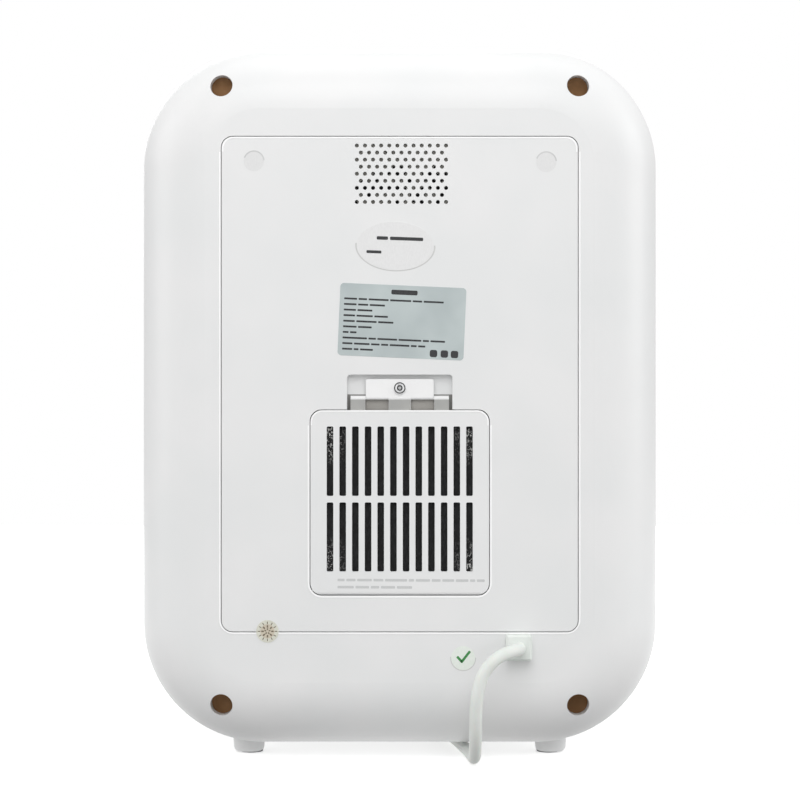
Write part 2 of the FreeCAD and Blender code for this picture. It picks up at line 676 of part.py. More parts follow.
def exhaust_duct():
    """Flat duct from the chamber to the vent."""
    y1 = REAR_Y - REAR_WALL - 0.4
    outer = block(-33.0, 33.0, CHAMBER_BACK_Y, y1, 327.0, 368.2)
    inner = block(-31.4, 31.4, CHAMBER_BACK_Y - 1, y1 + 1, 328.6, 366.6)
    rim = cut(block(-38, 38, CHAMBER_BACK_Y, CHAMBER_BACK_Y + 1.6, 322, 373.2),
              [block(-31.4, 31.4, CHAMBER_BACK_Y - 1, y1, 328.6, 366.6)])
    return fuse([cut(outer, [inner]), rim])


def exhaust_louvre():
    """Slanted blades inside the exhaust duct, just behind the vent holes."""
    blades = []
    for row in range(5):
        z = 332.5 + row * 7.5
        blade = block(-31.2, 31.2, -5.0, 5.0, -0.6, 0.6)
        blade.rotate(V(0, 0, 0), V(1, 0, 0), -35)
        blade.translate(V(0, REAR_Y - 13, z))
        blades.append(blade)
    ties = [block(x - 0.8, x + 0.8, REAR_Y - 15, REAR_Y - 11, 328.9, 366.3) for x in (-30.4, 0, 30.4)]
    return fuse(blades + ties)


# Chamber and what it holds

def chamber_solid(inset, y0, y1):
    """Outline of the chamber drawn in by inset."""
    half = CHAMBER_HALF_W - inset
    return slab(-half, half, CHAMBER_LOW_Z + inset, CHAMBER_TOP_Z - inset, y0, y1,
                CHAMBER_TOP_R - inset, CHAMBER_LOW_R - inset)


def chamber():
    """Steel box open to the front, with its flange and the holes for the air."""
    y0, y1 = FRAME_BACK_Y, CHAMBER_BACK_Y
    box = cut(chamber_solid(0, y0, y1), [chamber_solid(SHEET, y0 - 1, y1 - SHEET)])
    flange = cut(chamber_solid(-8.0, y0, y0 + SHEET), [chamber_solid(SHEET, y0 - 1, y0 + 2)])
    body = fuse([box, flange])
    holes = [block(-68, 68, UV_Y - 14, UV_Y + 14, CHAMBER_TOP_Z - 3, CHAMBER_TOP_Z + 1)]
    for row in range(8):
        for column in range(-4, 5):
            x = column * 8.0 + (4.0 if row % 2 else 0.0)
            holes.append(rod("y", (x, FAN_Z - 28 + row * 8.0), 2.0, y1 - 3, y1 + 1))
    for row in range(4):
        for column in range(-3, 4):
            x = column * 8.0 + (4.0 if row % 2 else 0.0)
            holes.append(rod("y", (x, 335.0 + row * 8.0), 2.0, y1 - 3, y1 + 1))
    return cut(body, holes)


def uv_housing():
    """Cover over the ultraviolet lamps on the roof of the chamber."""
    outer = slab(-82, 82, CHAMBER_TOP_Z, CHAMBER_TOP_Z + 13, UV_Y - 22, UV_Y + 22, 3.0, 0.5)
    inner = slab(-80.4, 80.4, CHAMBER_TOP_Z - 1, CHAMBER_TOP_Z + 11.4,
                 UV_Y - 20.4, UV_Y + 20.4, 1.4, 0.4)
    return cut(outer, [inner])


def quartz_window():
    """Window in the roof of the chamber under the lamps."""
    return slab(-74, 74, CHAMBER_TOP_Z, CHAMBER_TOP_Z + 2.0, UV_Y - 18, UV_Y + 18, 0.5)


def uv_led_board():
    """Board on two legs with twelve lamps that face down."""
    low = CHAMBER_TOP_Z + 4.4
    front, back = UV_Y - 16, UV_Y + 16
    board = block(-78, 78, front, back, low, low + 1.6)
    legs = [block(x - 1.5, x + 1.5, front, back, CHAMBER_TOP_Z, low + 0.6) for x in (-76.3, 76.3)]
    lamps = []
    for x in (-55, -33, -11, 11, 33, 55):
        for y in (UV_Y - 7, UV_Y + 7):
            lamps.append(block(x - 1.9, x + 1.9, y - 1.9, y + 1.9, low - 1.5, low))
    return group([fuse([board] + legs)] + lamps)


def rack_rails():
    """Two pairs of shelves on the side walls, with a stop at their back end."""
    rails = []
    wall = CHAMBER_HALF_W - SHEET
    for z in RACK_ZS:
        top = z - 2.0 - 0.35
        shelf = fuse([block(wall - 7, wall, -96, 72, top - 1.5, top),
                      block(wall - 1.5, wall, -96, 72, top - 8, top),
                      block(wall - 7, wall - 5.6, 66, 72, top - 1, top + 8)])
        rails += both_sides(shelf)
    return group(rails)


def wire_rack(z):
    """Welded shelf: a flat band as frame, two cross bars and wires from front to back."""
    half, front, back = 125.5, -100.0, 62.0
    band = cut(tray_slab(-half, half, front, back, z - 2.0, z + 2.0, 8.0),
               [tray_slab(-half + 3.6, half - 3.6, front + 3.6, back - 3.6, z - 3, z + 3, 4.4)])
    bars = [rod("x", (y, z - 0.4), 1.4, -half + 2, half - 2) for y in (-46.0, 8.0)]
    wires = [rod("y", (column * 15.4, z + 0.9), 1.25, front + 2, back - 2) for column in range(-7, 8)]
    return fuse([band] + bars + wires)


def drip_tray():
    """Shallow tray with a lip on the floor of the chamber."""
    z0 = CHAMBER_LOW_Z + SHEET + 0.4
    outer = tray_slab(-112, 112, -98, 58, z0, z0 + 16, 10.0)
    inner = tray_slab(-110.4, 110.4, -96.4, 56.4, z0 + 1.6, z0 + 17, 8.4)
    lip = cut(tray_slab(-114, 114, -100, 60, z0 + 14.6, z0 + 16, 12.0),
              [tray_slab(-111, 111, -97, 57, z0 + 14, z0 + 17, 9.0)])
    return fuse([cut(outer, [inner]), lip])


# Front frame, hinges and door

def front_frame():
    """Plate round the opening, with seats for the hinges and the strike plates."""
    plate = rounded_silhouette(0, FRAME_FRONT_Y, FRAME_BACK_Y, FRAME_FRONT_Y, 1.5)
    holes = [chamber_solid(SHEET, FRAME_FRONT_Y - 1, FRAME_BACK_Y + 1),
             slab(-70, 70, 24, 78, FRAME_FRONT_Y - 1, FRAME_BACK_Y + 1, 4.0)]
    for z in KNUCKLE_ZS:
        holes.append(block(HINGE_X - 1.8, HINGE_X + 1.8, FRAME_FRONT_Y - 1, FRAME_BACK_Y + 1,
                           z - KNUCKLE_H / 2 - 0.3, z + KNUCKLE_H / 2 + 0.3))
    for x, z in MAGNETS:
        holes.append(rod("y", (x, z), 6.0, FRAME_FRONT_Y - 1, FRAME_FRONT_Y + 1.2))
    return cut(plate, holes)


def hinge_brackets():
    """Knuckle, leaf and foot of both hinges."""
    brackets = []
    for z in KNUCKLE_ZS:
        z0, z1 = z - KNUCKLE_H / 2, z + KNUCKLE_H / 2
        knuckle = rod("z", (HINGE_X, HINGE_Y), KNUCKLE_R, z0, z1)
        leaf = block(HINGE_X - 1.5, HINGE_X + 1.5, HINGE_Y, FRAME_BACK_Y + 1.0, z0, z1)
        foot = block(HINGE_X - 4.0, -139.5, FRAME_BACK_Y, FRAME_BACK_Y + 2.5, z0 - 4, z1 + 4)
        bracket = fuse([knuckle, leaf, foot])
        brackets.append(cut(bracket, [rod("z", (HINGE_X, HINGE_Y), PIN_R + 0.06, z0 - 1, z1 + 1)]))
    return group(brackets)


def hinge_pins():
    """Pins of both hinges."""
    return group([rod("z", (HINGE_X, HINGE_Y), PIN_R, z - KNUCKLE_H / 2 - 9, z + KNUCKLE_H / 2 + 9)
                  for z in KNUCKLE_ZS])


def strike_plates():
    """Steel discs that the magnets of the door meet."""
    return group([rod("y", (x, z), 5.9, FRAME_FRONT_Y + 0.1, FRAME_FRONT_Y + 1.2) for x, z in MAGNETS])


def door_magnets():
    """Discs in the inner side of the door."""
    return group([rod("y", (x, z), 5.0, DOOR_BACK_Y - 2.4, DOOR_BACK_Y - 0.1) for x, z in MAGNETS])


def glass_slab(grow, y0, y1):
    """Outline of the door glass drawn out by grow."""
    return slab(-GLASS_HALF_W - grow, GLASS_HALF_W + grow, GLASS_LOW_Z - grow, GLASS_TOP_Z + grow,
                y0, y1, GLASS_R + grow)


def inside_door(inset, y0, y1):
    """Outline of the door drawn in by inset, right of the hinge stile and above the door's lower edge."""
    window = block(STILE_X + inset, HALF_WIDTH, y0, y1, DOOR_LOW_Z + inset, HEIGHT)
    return silhouette(inset, y0, y1).common(window)


def front_hollow(back_y):
    """Hollow behind the rounded front, which leaves an even wall."""
    start = FRONT_Y + FRONT_WALL
    return rounded_silhouette(WALL, start, back_y, start, FRONT_ROUND - WALL)


def front_pillow():
    """Rounded front of the cabinet as one block."""
    return rounded_silhouette(0, FRONT_Y, DOOR_BACK_Y, FRONT_Y, FRONT_ROUND)


def door_outer():
    """Hollow door with the seat of the glass, the hinge cut-outs and the holes of the handle."""
    body = front_pillow().common(block(-160, 160, FRONT_Y - 1, 0, DOOR_LOW_Z, HEIGHT + 1))
    corner = block(-160, HINGE_X, HINGE_Y, DOOR_BACK_Y + 1, DOOR_LOW_Z - 1, HEIGHT)
    body = cut(body, [cut(corner, [rod("z", (HINGE_X, HINGE_Y), HINGE_R, 0, HEIGHT)])])
    cavity_back = LINER_Y + 0.1
    cavity = inside_door(WALL, FRONT_Y + FRONT_WALL, cavity_back).common(front_hollow(cavity_back))
    cavity = cut(cavity, [glass_slab(4.0, FRONT_Y, FRONT_Y + 6.0),
                          glass_slab(-3.0, FRONT_Y, DOOR_BACK_Y + 1)])
    holes = [cavity,
             inside_door(3.3, LINER_Y, DOOR_BACK_Y + 1),
             glass_slab(0.2, FRONT_Y - 1, FRONT_Y + GLASS_T + 0.2),
             glass_slab(-6.0, FRONT_Y - 1, DOOR_BACK_Y + 1)]
    for z in KNUCKLE_ZS:
        z0, z1 = z - KNUCKLE_H / 2 - 0.5, z + KNUCKLE_H / 2 + 0.5
        holes.append(block(-160, HINGE_X + 7, HINGE_Y - 7, DOOR_BACK_Y + 1, z0, z1))
        holes.append(rod("z", (HINGE_X, HINGE_Y), PIN_R + 0.02, z0 - 9, z1 + 9))
    for z in HANDLE_POST_ZS:
        holes.append(rod("y", (HANDLE_X, z), 1.7, FRONT_Y - 1, FRONT_Y + FRONT_WALL + 1))
    return cut(body, holes)


def door_liner():
    """Inner plate of the door."""
    plate = inside_door(3.5, LINER_Y, DOOR_BACK_Y)
    holes = [glass_slab(-6.0, LINER_Y - 1, DOOR_BACK_Y + 1)]
    holes += [rod("y", (x, z), 5.1, LINER_Y - 1, DOOR_BACK_Y + 1) for x, z in MAGNETS]
    return cut(plate, holes)


def door_window():
    """Glass of the door."""
    return round_rim(glass_slab(0, FRONT_Y, FRONT_Y + GLASS_T), FRONT_Y, 0.5)


def door_gasket():
    """Seal round the opening, with a raised lip."""
    seat = cut(chamber_solid(-5.0, DOOR_BACK_Y, DOOR_BACK_Y + 0.7),
               [chamber_solid(-1.0, DOOR_BACK_Y - 1, 0)])
    lip = cut(chamber_solid(-3.8, DOOR_BACK_Y, DOOR_BACK_Y + 1.2),
              [chamber_solid(-2.2, DOOR_BACK_Y - 1, 0)])
    return fuse([seat, lip])


def door_handle():
    """Upright bar on two posts."""
    bar = slab(HANDLE_X - 6.5, HANDLE_X + 6.5, HANDLE_Z - 66, HANDLE_Z + 66,
               HANDLE_Y, HANDLE_Y + 8.0, 6.4)
    bar = round_rim(bar, HANDLE_Y, 3.0)
    posts = [taper("y", (HANDLE_X, z), 5.2, 6.2, HANDLE_Y + 7.0, FRONT_Y) for z in HANDLE_POST_ZS]
    holes = [rod("y", (HANDLE_X, z), 1.52, HANDLE_Y + 9.0, FRONT_Y + 1) for z in HANDLE_POST_ZS]
    return cut(fuse([bar] + posts), holes)


def handle_screws():
    """Screws from inside the door into the posts of the handle."""
    return group([pan_screw("y", (HANDLE_X, z), FRONT_Y + FRONT_WALL, -1, length=14.0)
                  for z in HANDLE_POST_ZS])


# Lower front with the controls

def base_front():
    """Lower front with the seat of the control glass and the posts of its board."""
    body = front_pillow_low()
    inner = front_hollow(FRAME_FRONT_Y + 1).common(
        block(-160, 160, FRONT_Y, 0, 0, FASCIA_TOP_Z - WALL))
    posts = [rod("y", at, 3.2, FRONT_Y + FRONT_WALL - 0.3, CONTROL_BOARD_Y) for at in CONTROL_POSTS]
    body = fuse([cut(body, [inner])] + posts)
    holes = [slab(-CONTROL_HALF_W - 0.2, CONTROL_HALF_W + 0.2,
                  CONTROL_Z - CONTROL_HALF_H - 0.2, CONTROL_Z + CONTROL_HALF_H + 0.2,
                  FRONT_Y - 1, FRONT_Y + 2.0, 10.2),
             slab(-CONTROL_HALF_W + 4, CONTROL_HALF_W - 4, CONTROL_Z - 16, CONTROL_Z + 16,
                  FRONT_Y, FRONT_Y + FRONT_WALL + 0.5, 6.0)]
    return cut(body, holes)


def front_pillow_low():
    """Rounded front below the door."""
    deep = rounded_silhouette(0, FRONT_Y, FRAME_FRONT_Y, FRONT_Y, FRONT_ROUND)
    return deep.common(block(-160, 160, FRONT_Y - 1, 0, 0, FASCIA_TOP_Z))


def control_glass():
    """Dark pane over the controls, with a hole for each button."""
    pane = slab(-CONTROL_HALF_W, CONTROL_HALF_W, CONTROL_Z - CONTROL_HALF_H,
                CONTROL_Z + CONTROL_HALF_H, FRONT_Y, FRONT_Y + 1.8, 10.0)
    return cut(pane, [rod("y", (x, CONTROL_Z), BUTTON_R + 0.3, FRONT_Y - 1, FRONT_Y + 3)
                      for x in BUTTON_XS.values()])


def display_module():
    """Case of the display with its lit field."""
    shell = slab(-24, 24, CONTROL_Z - 12, CONTROL_Z + 12, FRONT_Y + 2.2, CONTROL_BOARD_Y, 1.5)
    return cut(shell, [block(-21, 21, FRONT_Y + 2, FRONT_Y + 3.4, CONTROL_Z - 9, CONTROL_Z + 9)])


def control_board():
    """Board behind the controls."""
    board = slab(-103, 103, CONTROL_Z - 17, CONTROL_Z + 17, CONTROL_BOARD_Y, CONTROL_BOARD_Y + 1.6, 2.0)
    chips = [block(-8, 8, CONTROL_BOARD_Y + 1.5, CONTROL_BOARD_Y + 3.2, CONTROL_Z - 8, CONTROL_Z + 8),
             block(36, 56, CONTROL_BOARD_Y + 1.5, CONTROL_BOARD_Y + 7.5, CONTROL_Z - 4, CONTROL_Z + 4)]
    return fuse([board] + chips)


def tact_switches():
    """Switch behind each button."""
    switches = []
    for x in BUTTON_XS.values():
        base = block(x - 3, x + 3, CONTROL_BOARD_Y - 3.6, CONTROL_BOARD_Y, CONTROL_Z - 3, CONTROL_Z + 3)
        plunger = rod("y", (x, CONTROL_Z), 1.75, CONTROL_BOARD_Y - 4.6, CONTROL_BOARD_Y - 3)
        switches.append(fuse([base, plunger]))
    return group(switches)


def button(x):
    """Round button with its flange and stem."""
    cap = rod("y", (x, CONTROL_Z), BUTTON_R, FRONT_Y - BUTTON_PROUD, FRONT_Y + 2.4)
    cap = round_rim(cap, FRONT_Y - BUTTON_PROUD, 0.8)
    flange = rod("y", (x, CONTROL_Z), BUTTON_R + 1.2, FRONT_Y + 2.2, FRONT_Y + 3.4)
    stem = rod("y", (x, CONTROL_Z), 2.0, FRONT_Y + 3.0, CONTROL_BOARD_Y - 6.1)
    return fuse([cap, flange, stem])


# Electrics in the base

def power_board():
    """Supply board on four posts."""
    board = block(-76, 76, -78, 48, BOARD_Z, BOARD_Z + 1.6)
    holes = [rod("z", (x, y), 1.7, BOARD_Z - 1, BOARD_Z + 3) for x in BOARD_POST_XS for y in BOARD_POST_YS]
    return cut(board, holes)


def transformer():
    """Core and bobbin."""
    z0 = BOARD_Z + 1.6
    core = block(-60, -20, -30, 4, z0 + 2, z0 + 36)
    bobbin = block(-52, -28, -38, 12, z0, z0 + 28)
    return fuse([core, bobbin])


def board_parts():
    """Capacitors, relays, heat sink and terminals."""
    z0 = BOARD_Z + 1.6
    parts = [rod("z", (x, 30), 7.0, z0, z0 + 25) for x in (-2, 18)]
    parts += [block(x - 8, x + 8, -60, -40, z0, z0 + 16) for x in (-48, -22, 4)]
    sink = fuse([block(34, 37, -56, 16, z0, z0 + 34)]
                + [block(36, 50, y - 0.8, y + 0.8, z0 + 2, z0 + 34) for y in range(-52, 16, 8)])
    terminals = block(-64, -32, 24, 40, z0, z0 + 15)
    terminals = cut(terminals, [rod("y", (x, z0 + 7), 2.2, 30, 41) for x in (-58, -48, -38)]
               + [rod("z", (x, 32), 2.0, z0 + 9, z0 + 16) for x in (-58, -48, -38)])
    return group(parts + [sink, terminals])


def reed_switch():
    """Door switch behind the middle magnet."""
    return block(140.5, 149.5, FRAME_BACK_Y, FRAME_BACK_Y + 6, 246, 266)


def small_screws():
    """Pan-head screws that hold the base plate, the service panel and the power board."""
    screws = [pan_screw("z", at, FOOT_HEIGHT + 1.4, 1, length=4.6, head_h=1.2) for at in BASE_SCREWS]
    for side in (-1, 1):
        screws.append(pan_screw("y", (side * PANEL_SCREW_X, PANEL_SCREW_Z), REAR_Y - 9, -1, length=12.0))
    screws += [pan_screw("z", (x, y), BOARD_Z + 1.6, -1, length=6.0)
               for x in BOARD_POST_XS for y in BOARD_POST_YS]
    return group(screws)


# Supply cord with its strain relief and plug

def corner_arcs(route, name):
    """Straight runs joined by tangent arcs, each as large as its two runs allow."""
    points = [V(*point) for point in route]
    edges = []
    here = points[0]
    length = 0.0
    radii = []
    for before, corner, after in zip(points, points[1:], points[2:]):
        back = before - corner
        ahead = after - corner
        reach = 0.45 * min(back.Length, ahead.Length)
        back.normalize()
        ahead.normalize()
        half_turn = (math.pi - back.getAngle(ahead)) / 2
        radii.append(reach / math.tan(half_turn))
        start = corner + back * reach
        end = corner + ahead * reach
        toward = back + ahead
        toward.normalize()
        middle = corner + toward * (radii[-1] / math.cos(half_turn) - radii[-1])
        edges.append(Part.LineSegment(here, start).toShape())
        edges.append(Part.Arc(start, middle, end).toShape())
        length += here.distanceToPoint(start) + 2 * half_turn * radii[-1]
        here = end
    edges.append(Part.LineSegment(here, points[-1]).toShape())
    length += here.distanceToPoint(points[-1])
    print(name, "radii", [round(radius, 1) for radius in radii])
    return Part.Wire(edges), length


def tube(path, start, direction, length, name):
    """Round cord along a path, with its volume set against section times length."""
    ring = Part.Wire([Part.makeCircle(CORD_R, start, direction)])
    solid = path.makePipeShell([ring], True, False)
    expected = math.pi * CORD_R ** 2 * length
    print(name, "length", round(length, 1), "volume ratio", round(solid.Volume / expected, 4))
    return solid


def route_tube(route, name):
    """Cord along a route of points, with its length."""
    path, length = corner_arcs(route, name)
    start = V(*route[0])
    return tube(path, start, V(*route[1]) - start, length, name), length


def arc_from(start, direction, end):
    """Arc that leaves start along direction and reaches end: its middle point and its radius."""
    chord = end - start
    across = chord - direction * chord.dot(direction)
    across.normalize()
    radius = chord.dot(chord) / (2 * chord.dot(across))
    centre = start + across * radius
    middle = (start + end) * 0.5 - centre
    middle.normalize()
    return centre + middle * radius, radius


def biarc(p0, t0, p1, t1):
    """Two tangent arcs between two points with given directions."""
    chord = p1 - p0
    spread = 2 * (1 - t0.dot(t1))
    along = chord.dot(t0 + t1)
    reach = (-along + math.sqrt(along ** 2 + spread * chord.dot(chord))) / spread
    joint = (p0 + t0 * reach + p1 - t1 * reach) * 0.5
    first, first_r = arc_from(p0, t0, joint)
    second, second_r = arc_from(p1, t1 * -1, joint)
    edges = [Part.Arc(p0, first, joint).toShape(), Part.Arc(joint, second, p1).toShape()]
    return edges, min(first_r, second_r)


def coil_place(turn):
    """Centre of the cord after so many turns: inwards, up a layer in the middle half turn, and outwards."""
    half = COIL_TURNS / 2
    away = abs(turn - half)
    if away > 0.25:
        radius = COIL_OUTER_R - COIL_PITCH * (half - away)
    else:
        radius = COIL_OUTER_R - COIL_PITCH * (half - 0.125 - away ** 2 * 2)
    climb = min(max((turn - half) / 0.5 + 0.5, 0.0), 1.0)
    z = CORD_R + COIL_LAYER * climb ** 2 * (3 - 2 * climb)
    angle = math.radians(COIL_START_DEG) + 2 * math.pi * turn
    return V(COIL_CENTRE[0] + radius * math.cos(angle), COIL_CENTRE[1] + radius * math.sin(angle), z)


def coil_heading(turn):
    """Direction of the cord in the coil."""
    step = 1e-5
    ahead = coil_place(turn + step) - coil_place(turn - step)
    ahead.normalize()
    return ahead


def cord_coil():
    """Put-away coil, with its length and its two ends."""
    count = 4 * round(COIL_TURNS)
    stations = [COIL_TURNS * step / count for step in range(count + 1)]
    start, end = coil_place(0), coil_place(COIL_TURNS)
    entry = start - coil_heading(0) * CORD_D
    leaving = end + coil_heading(COIL_TURNS) * CORD_D
    edges = [Part.LineSegment(entry, start).toShape()]
    tightest = 1e9
    for here, there in zip(stations, stations[1:]):
        arcs, radius = biarc(coil_place(here), coil_heading(here), coil_place(there), coil_heading(there))
        edges += arcs
        tightest = min(tightest, radius)
    edges.append(Part.LineSegment(end, leaving).toShape())
    path = Part.Wire(edges)
    print("coil tightest radius", round(tightest, 1))
    print_self_gap()
    return tube(path, entry, start - entry, path.Length, "cord_coil"), path.Length, entry, leaving


def print_self_gap():
    """Least space between turns, measured on points along the coil."""
    per_turn = 72
    count = int(COIL_TURNS * per_turn)
    points = [coil_place(step / per_turn) for step in range(count + 1)]
    least = min(points[i].distanceToPoint(points[j])
                for i in range(len(points)) for j in range(i + per_turn // 3, len(points)))
    print("coil least self gap", round(least - CORD_D, 2))


def strain_relief():
    """Square moulded block outside, a neck through the wall and a head inside."""
    half = RELIEF_HALF
    outer = block(EXIT_X - half, EXIT_X + half, REAR_Y, RELIEF_Y, EXIT_Z - half, EXIT_Z + half)
    edges = [edge for edge in outer.Edges
             if all(vertex.Y > RELIEF_Y - 0.1 for vertex in edge.Vertexes)]
    outer = outer.makeChamfer(1.2, edges)
    upright = [edge for edge in outer.Edges
               if abs(edge.Vertexes[0].Y - edge.Vertexes[-1].Y) > 5.0]
    outer = outer.makeFillet(1.6, upright)
    neck = block(EXIT_X - 5.5, EXIT_X + 5.5, REAR_Y - 4, REAR_Y + 1, EXIT_Z - 5.5, EXIT_Z + 5.5)
    head = block(EXIT_X - 7.5, EXIT_X + 7.5, REAR_Y - 14, REAR_Y - 3.1, EXIT_Z - 5.8, EXIT_Z + 5.6)
    tail = taper("y", (EXIT_X, EXIT_Z), 4.4, 5.4, REAR_Y - 24, REAR_Y - 13)
    return fuse([outer, neck, head, tail])


def plug_shapes(end, heading):
    """Flat three-pin plug whose cord end meets the tail; its pins point along the heading."""
    low = end.z - PLUG_HALF_H
    collar = taper("x", (0, low), CORD_R + 1.0, CORD_R + 2.6, 0, 14)
    ribs = [taper("x", (0, low), CORD_R + 2.0, CORD_R + 2.4, x, x + 1.6) for x in (2.0, 5.4, 8.8)]
    grip = Part.makeLoft([plug_section(12, 7.0, 6.6, low), plug_section(24, 11.5, 10.0, 0),
                          plug_section(30, 12.7, PLUG_HALF_H, 0)], True, True)
    head = Part.Face(plug_section(30, 12.7, PLUG_HALF_H, 0)).extrude(V(14, 0, 0))
    body = fuse([collar, grip, head] + ribs)
    blades = [block(PIN_ROOT_X, 59.8, y - 0.75, y + 0.75, 0.2, 6.6) for y in (-6.35, 6.35)]
    neck = rod("x", EARTH_PIN_AT, EARTH_PIN_R - 0.4, PIN_ROOT_X, PLUG_FACE_X + EARTH_PIN_NECK)
    shank = rod("x", EARTH_PIN_AT, EARTH_PIN_R, PLUG_FACE_X + EARTH_PIN_NECK, EARTH_PIN_END_X)
    pins = group(blades + [fuse([neck, shank])])
    body = cut(body, blades + [neck])
    angle = math.degrees(math.atan2(heading.y, heading.x))
    shapes = [body, pins]
    for shape in shapes:
        shape.rotate(V(0, 0, 0), V(0, 0, 1), angle)
        shape.translate(V(end.x, end.y, PLUG_HALF_H))
    return shapes


def plug_section(x, half_w, half_h, z):
    """Rounded cross-section of the plug at x."""
    radius = min(half_w, half_h) * 0.45
    wire = rounded_wire(-half_w, half_w, z - half_h, z + half_h, radius, radius, 0)
    wire.rotate(V(0, 0, 0), V(0, 0, 1), 90)
    wire.translate(V(x, 0, 0))
    return wire


def save(name, shape):
    """Writes one node's solids and prints their count, state, volume and reach."""
    valid = all(solid.isValid() for solid in shape.Solids)
    reach = shape.BoundBox
    print(f"{name:18s} solids {len(shape.Solids):3d} valid {valid} volume {shape.Volume:10.0f}"
          f"  x {reach.XMin:7.1f} {reach.XMax:7.1f}  y {reach.YMin:7.1f} {reach.YMax:7.1f}"
          f"  z {reach.ZMin:6.1f} {reach.ZMax:6.1f}")
    shape.exportStep("parts/" + name + ".step")


SIMPLE_NODES = [main_housing, rear_shell, base_plate, foot_pads, well_plugs, shell_screws,
                rear_cover, screw_caps, filter_cover, filter_frame, filter_element, filter_screw,
                fan_frame, fan_motor, fan_rotor, fan_screws, air_duct, ptc_heater, thermostat,
                exhaust_duct, exhaust_louvre, chamber, uv_housing, quartz_window, uv_led_board,
                rack_rails, drip_tray, front_frame, hinge_brackets, hinge_pins,
                strike_plates, door_magnets, door_outer, door_liner, door_window, door_gasket,
                door_handle, handle_screws, base_front, control_glass, display_module,
                control_board, tact_switches, power_board, transformer, board_parts,
                reed_switch, small_screws, strain_relief]


def main():
    """Builds every node and writes its file."""
    os.makedirs("parts", exist_ok=True)
    for make in SIMPLE_NODES:
        save(make.__name__, make())
    save("upper_rack", wire_rack(RACK_ZS[1]))
    save("lower_rack", wire_rack(RACK_ZS[0]))
    for name, x in BUTTON_XS.items():
        save(name, button(x))
    coil, coil_length, entry, leaving = cord_coil()
    lead, lead_length = route_tube(LEAD_ROUTE + [tuple(entry)], "cord_lead")
    tail, tail_length = route_tube([tuple(leaving)] + TAIL_ROUTE, "cord_tail")
    save("cord_lead", lead)
    save("cord_coil", coil)
    save("cord_tail", tail)
    print("coil entry", tuple(round(v, 2) for v in entry), "leaving", tuple(round(v, 2) for v in leaving))
    print("whole cord", round(lead_length + coil_length + tail_length, 1))
    end = V(*TAIL_ROUTE[-1])
    plug, pins = plug_shapes(end, end - V(*TAIL_ROUTE[-2]))
    save("plug_body", plug)
    save("plug_pins", pins)


main()
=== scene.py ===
import math

import bmesh
import bpy
from bpy.props import FloatProperty, FloatVectorProperty, IntProperty, PointerProperty
from bpy.types import Operator, Panel, PropertyGroup
from mathutils import Matrix, Vector


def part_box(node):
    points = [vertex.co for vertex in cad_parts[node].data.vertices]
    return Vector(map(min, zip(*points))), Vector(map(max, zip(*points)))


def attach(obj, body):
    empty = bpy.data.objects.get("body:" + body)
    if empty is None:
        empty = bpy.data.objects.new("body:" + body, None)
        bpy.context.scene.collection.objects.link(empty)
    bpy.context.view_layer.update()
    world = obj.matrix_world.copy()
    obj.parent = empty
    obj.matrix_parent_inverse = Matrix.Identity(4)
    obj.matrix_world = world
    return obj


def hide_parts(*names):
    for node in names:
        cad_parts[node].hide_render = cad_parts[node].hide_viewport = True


bl_info = {
    "name": "Bottle sterilizer",
    "version": (1, 0, 0),
    "blender": (4, 5, 0),
    "location": "3D View > Sidebar > Sterilizer",
    "description": "Finishes, labels, cord and studio for a countertop bottle sterilizer",
    "category": "Add Mesh",
}

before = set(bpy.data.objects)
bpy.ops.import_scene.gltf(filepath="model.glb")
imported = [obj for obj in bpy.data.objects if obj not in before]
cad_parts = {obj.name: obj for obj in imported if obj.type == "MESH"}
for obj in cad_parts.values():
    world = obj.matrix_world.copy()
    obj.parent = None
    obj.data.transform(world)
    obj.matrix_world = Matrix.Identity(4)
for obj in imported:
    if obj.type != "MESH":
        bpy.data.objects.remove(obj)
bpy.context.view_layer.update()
MM = 0.001


def mm(*lengths):
    """Lengths in millimetres as metres."""
    return tuple(length * MM for length in lengths)


def corners(node):
    """Low and high corner of a CAD node's box."""
    low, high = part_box(node)
    return Vector(low), Vector(high)


# The back of the cabinet, its panel and the filter cover, as the frame has them
PANEL_LOW, PANEL_HIGH = corners("rear_cover")
BACK_Y = PANEL_HIGH.y
COVER_LOW, COVER_HIGH = corners("filter_cover")

# The camera stands straight behind the appliance, at about half its height
CAMERA_PLACE = (-0.15 * MM, BACK_Y + 1400 * MM, 215.9 * MM)
CAMERA_LENS_MM = 106.83
SENSOR_WIDTH_MM = 36.0

# Large round lights: name, place, height of the point they face, power in watts, diameter
LIGHTS = (
    ("key light", (0.0, 1.8, 1.3), 0.22, 14.56, 1.6),
    ("top light", (0.0, 0.0, 2.0), 0.2, 3.9, 1.4),
    ("front fill", (0.3, -1.9, 1.1), 0.2, 13.0, 1.6),
    ("left fill", (2.2, 0.3, 0.8), 0.2, 7.8, 1.6),
    ("right fill", (-2.2, 0.3, 0.9), 0.2, 11.7, 1.6),
)

# Paper sweep: floor, the wall from its far edge, the curve between them, and the paper's tone and glow
FLOOR_WIDTH, FLOOR_DEPTH = 6.0, 5.0
WALL_HEIGHT, WALL_CURVE = 4.0, 1.4
FLOOR_BOUNCE = "A8A8A8"
PAPER_GLOW = 0.5

# Painted glow in the paper under the appliance, hidden from the camera: full glow inside the first distance,
# none past the second
HIDDEN_FLOOR_GLOW = 0.38
GLOW_FULL, GLOW_END = 0.155, 0.19


# Colour and node helpers

def colour(code):
    """sRGB hex to linear red, green, blue and alpha."""
    channels = [int(code[place:place + 2], 16) / 255 for place in (0, 2, 4)]
    linear = [value / 12.92 if value <= 0.04045 else ((value + 0.055) / 1.055) ** 2.4 for value in channels]
    return (*linear, 1.0)


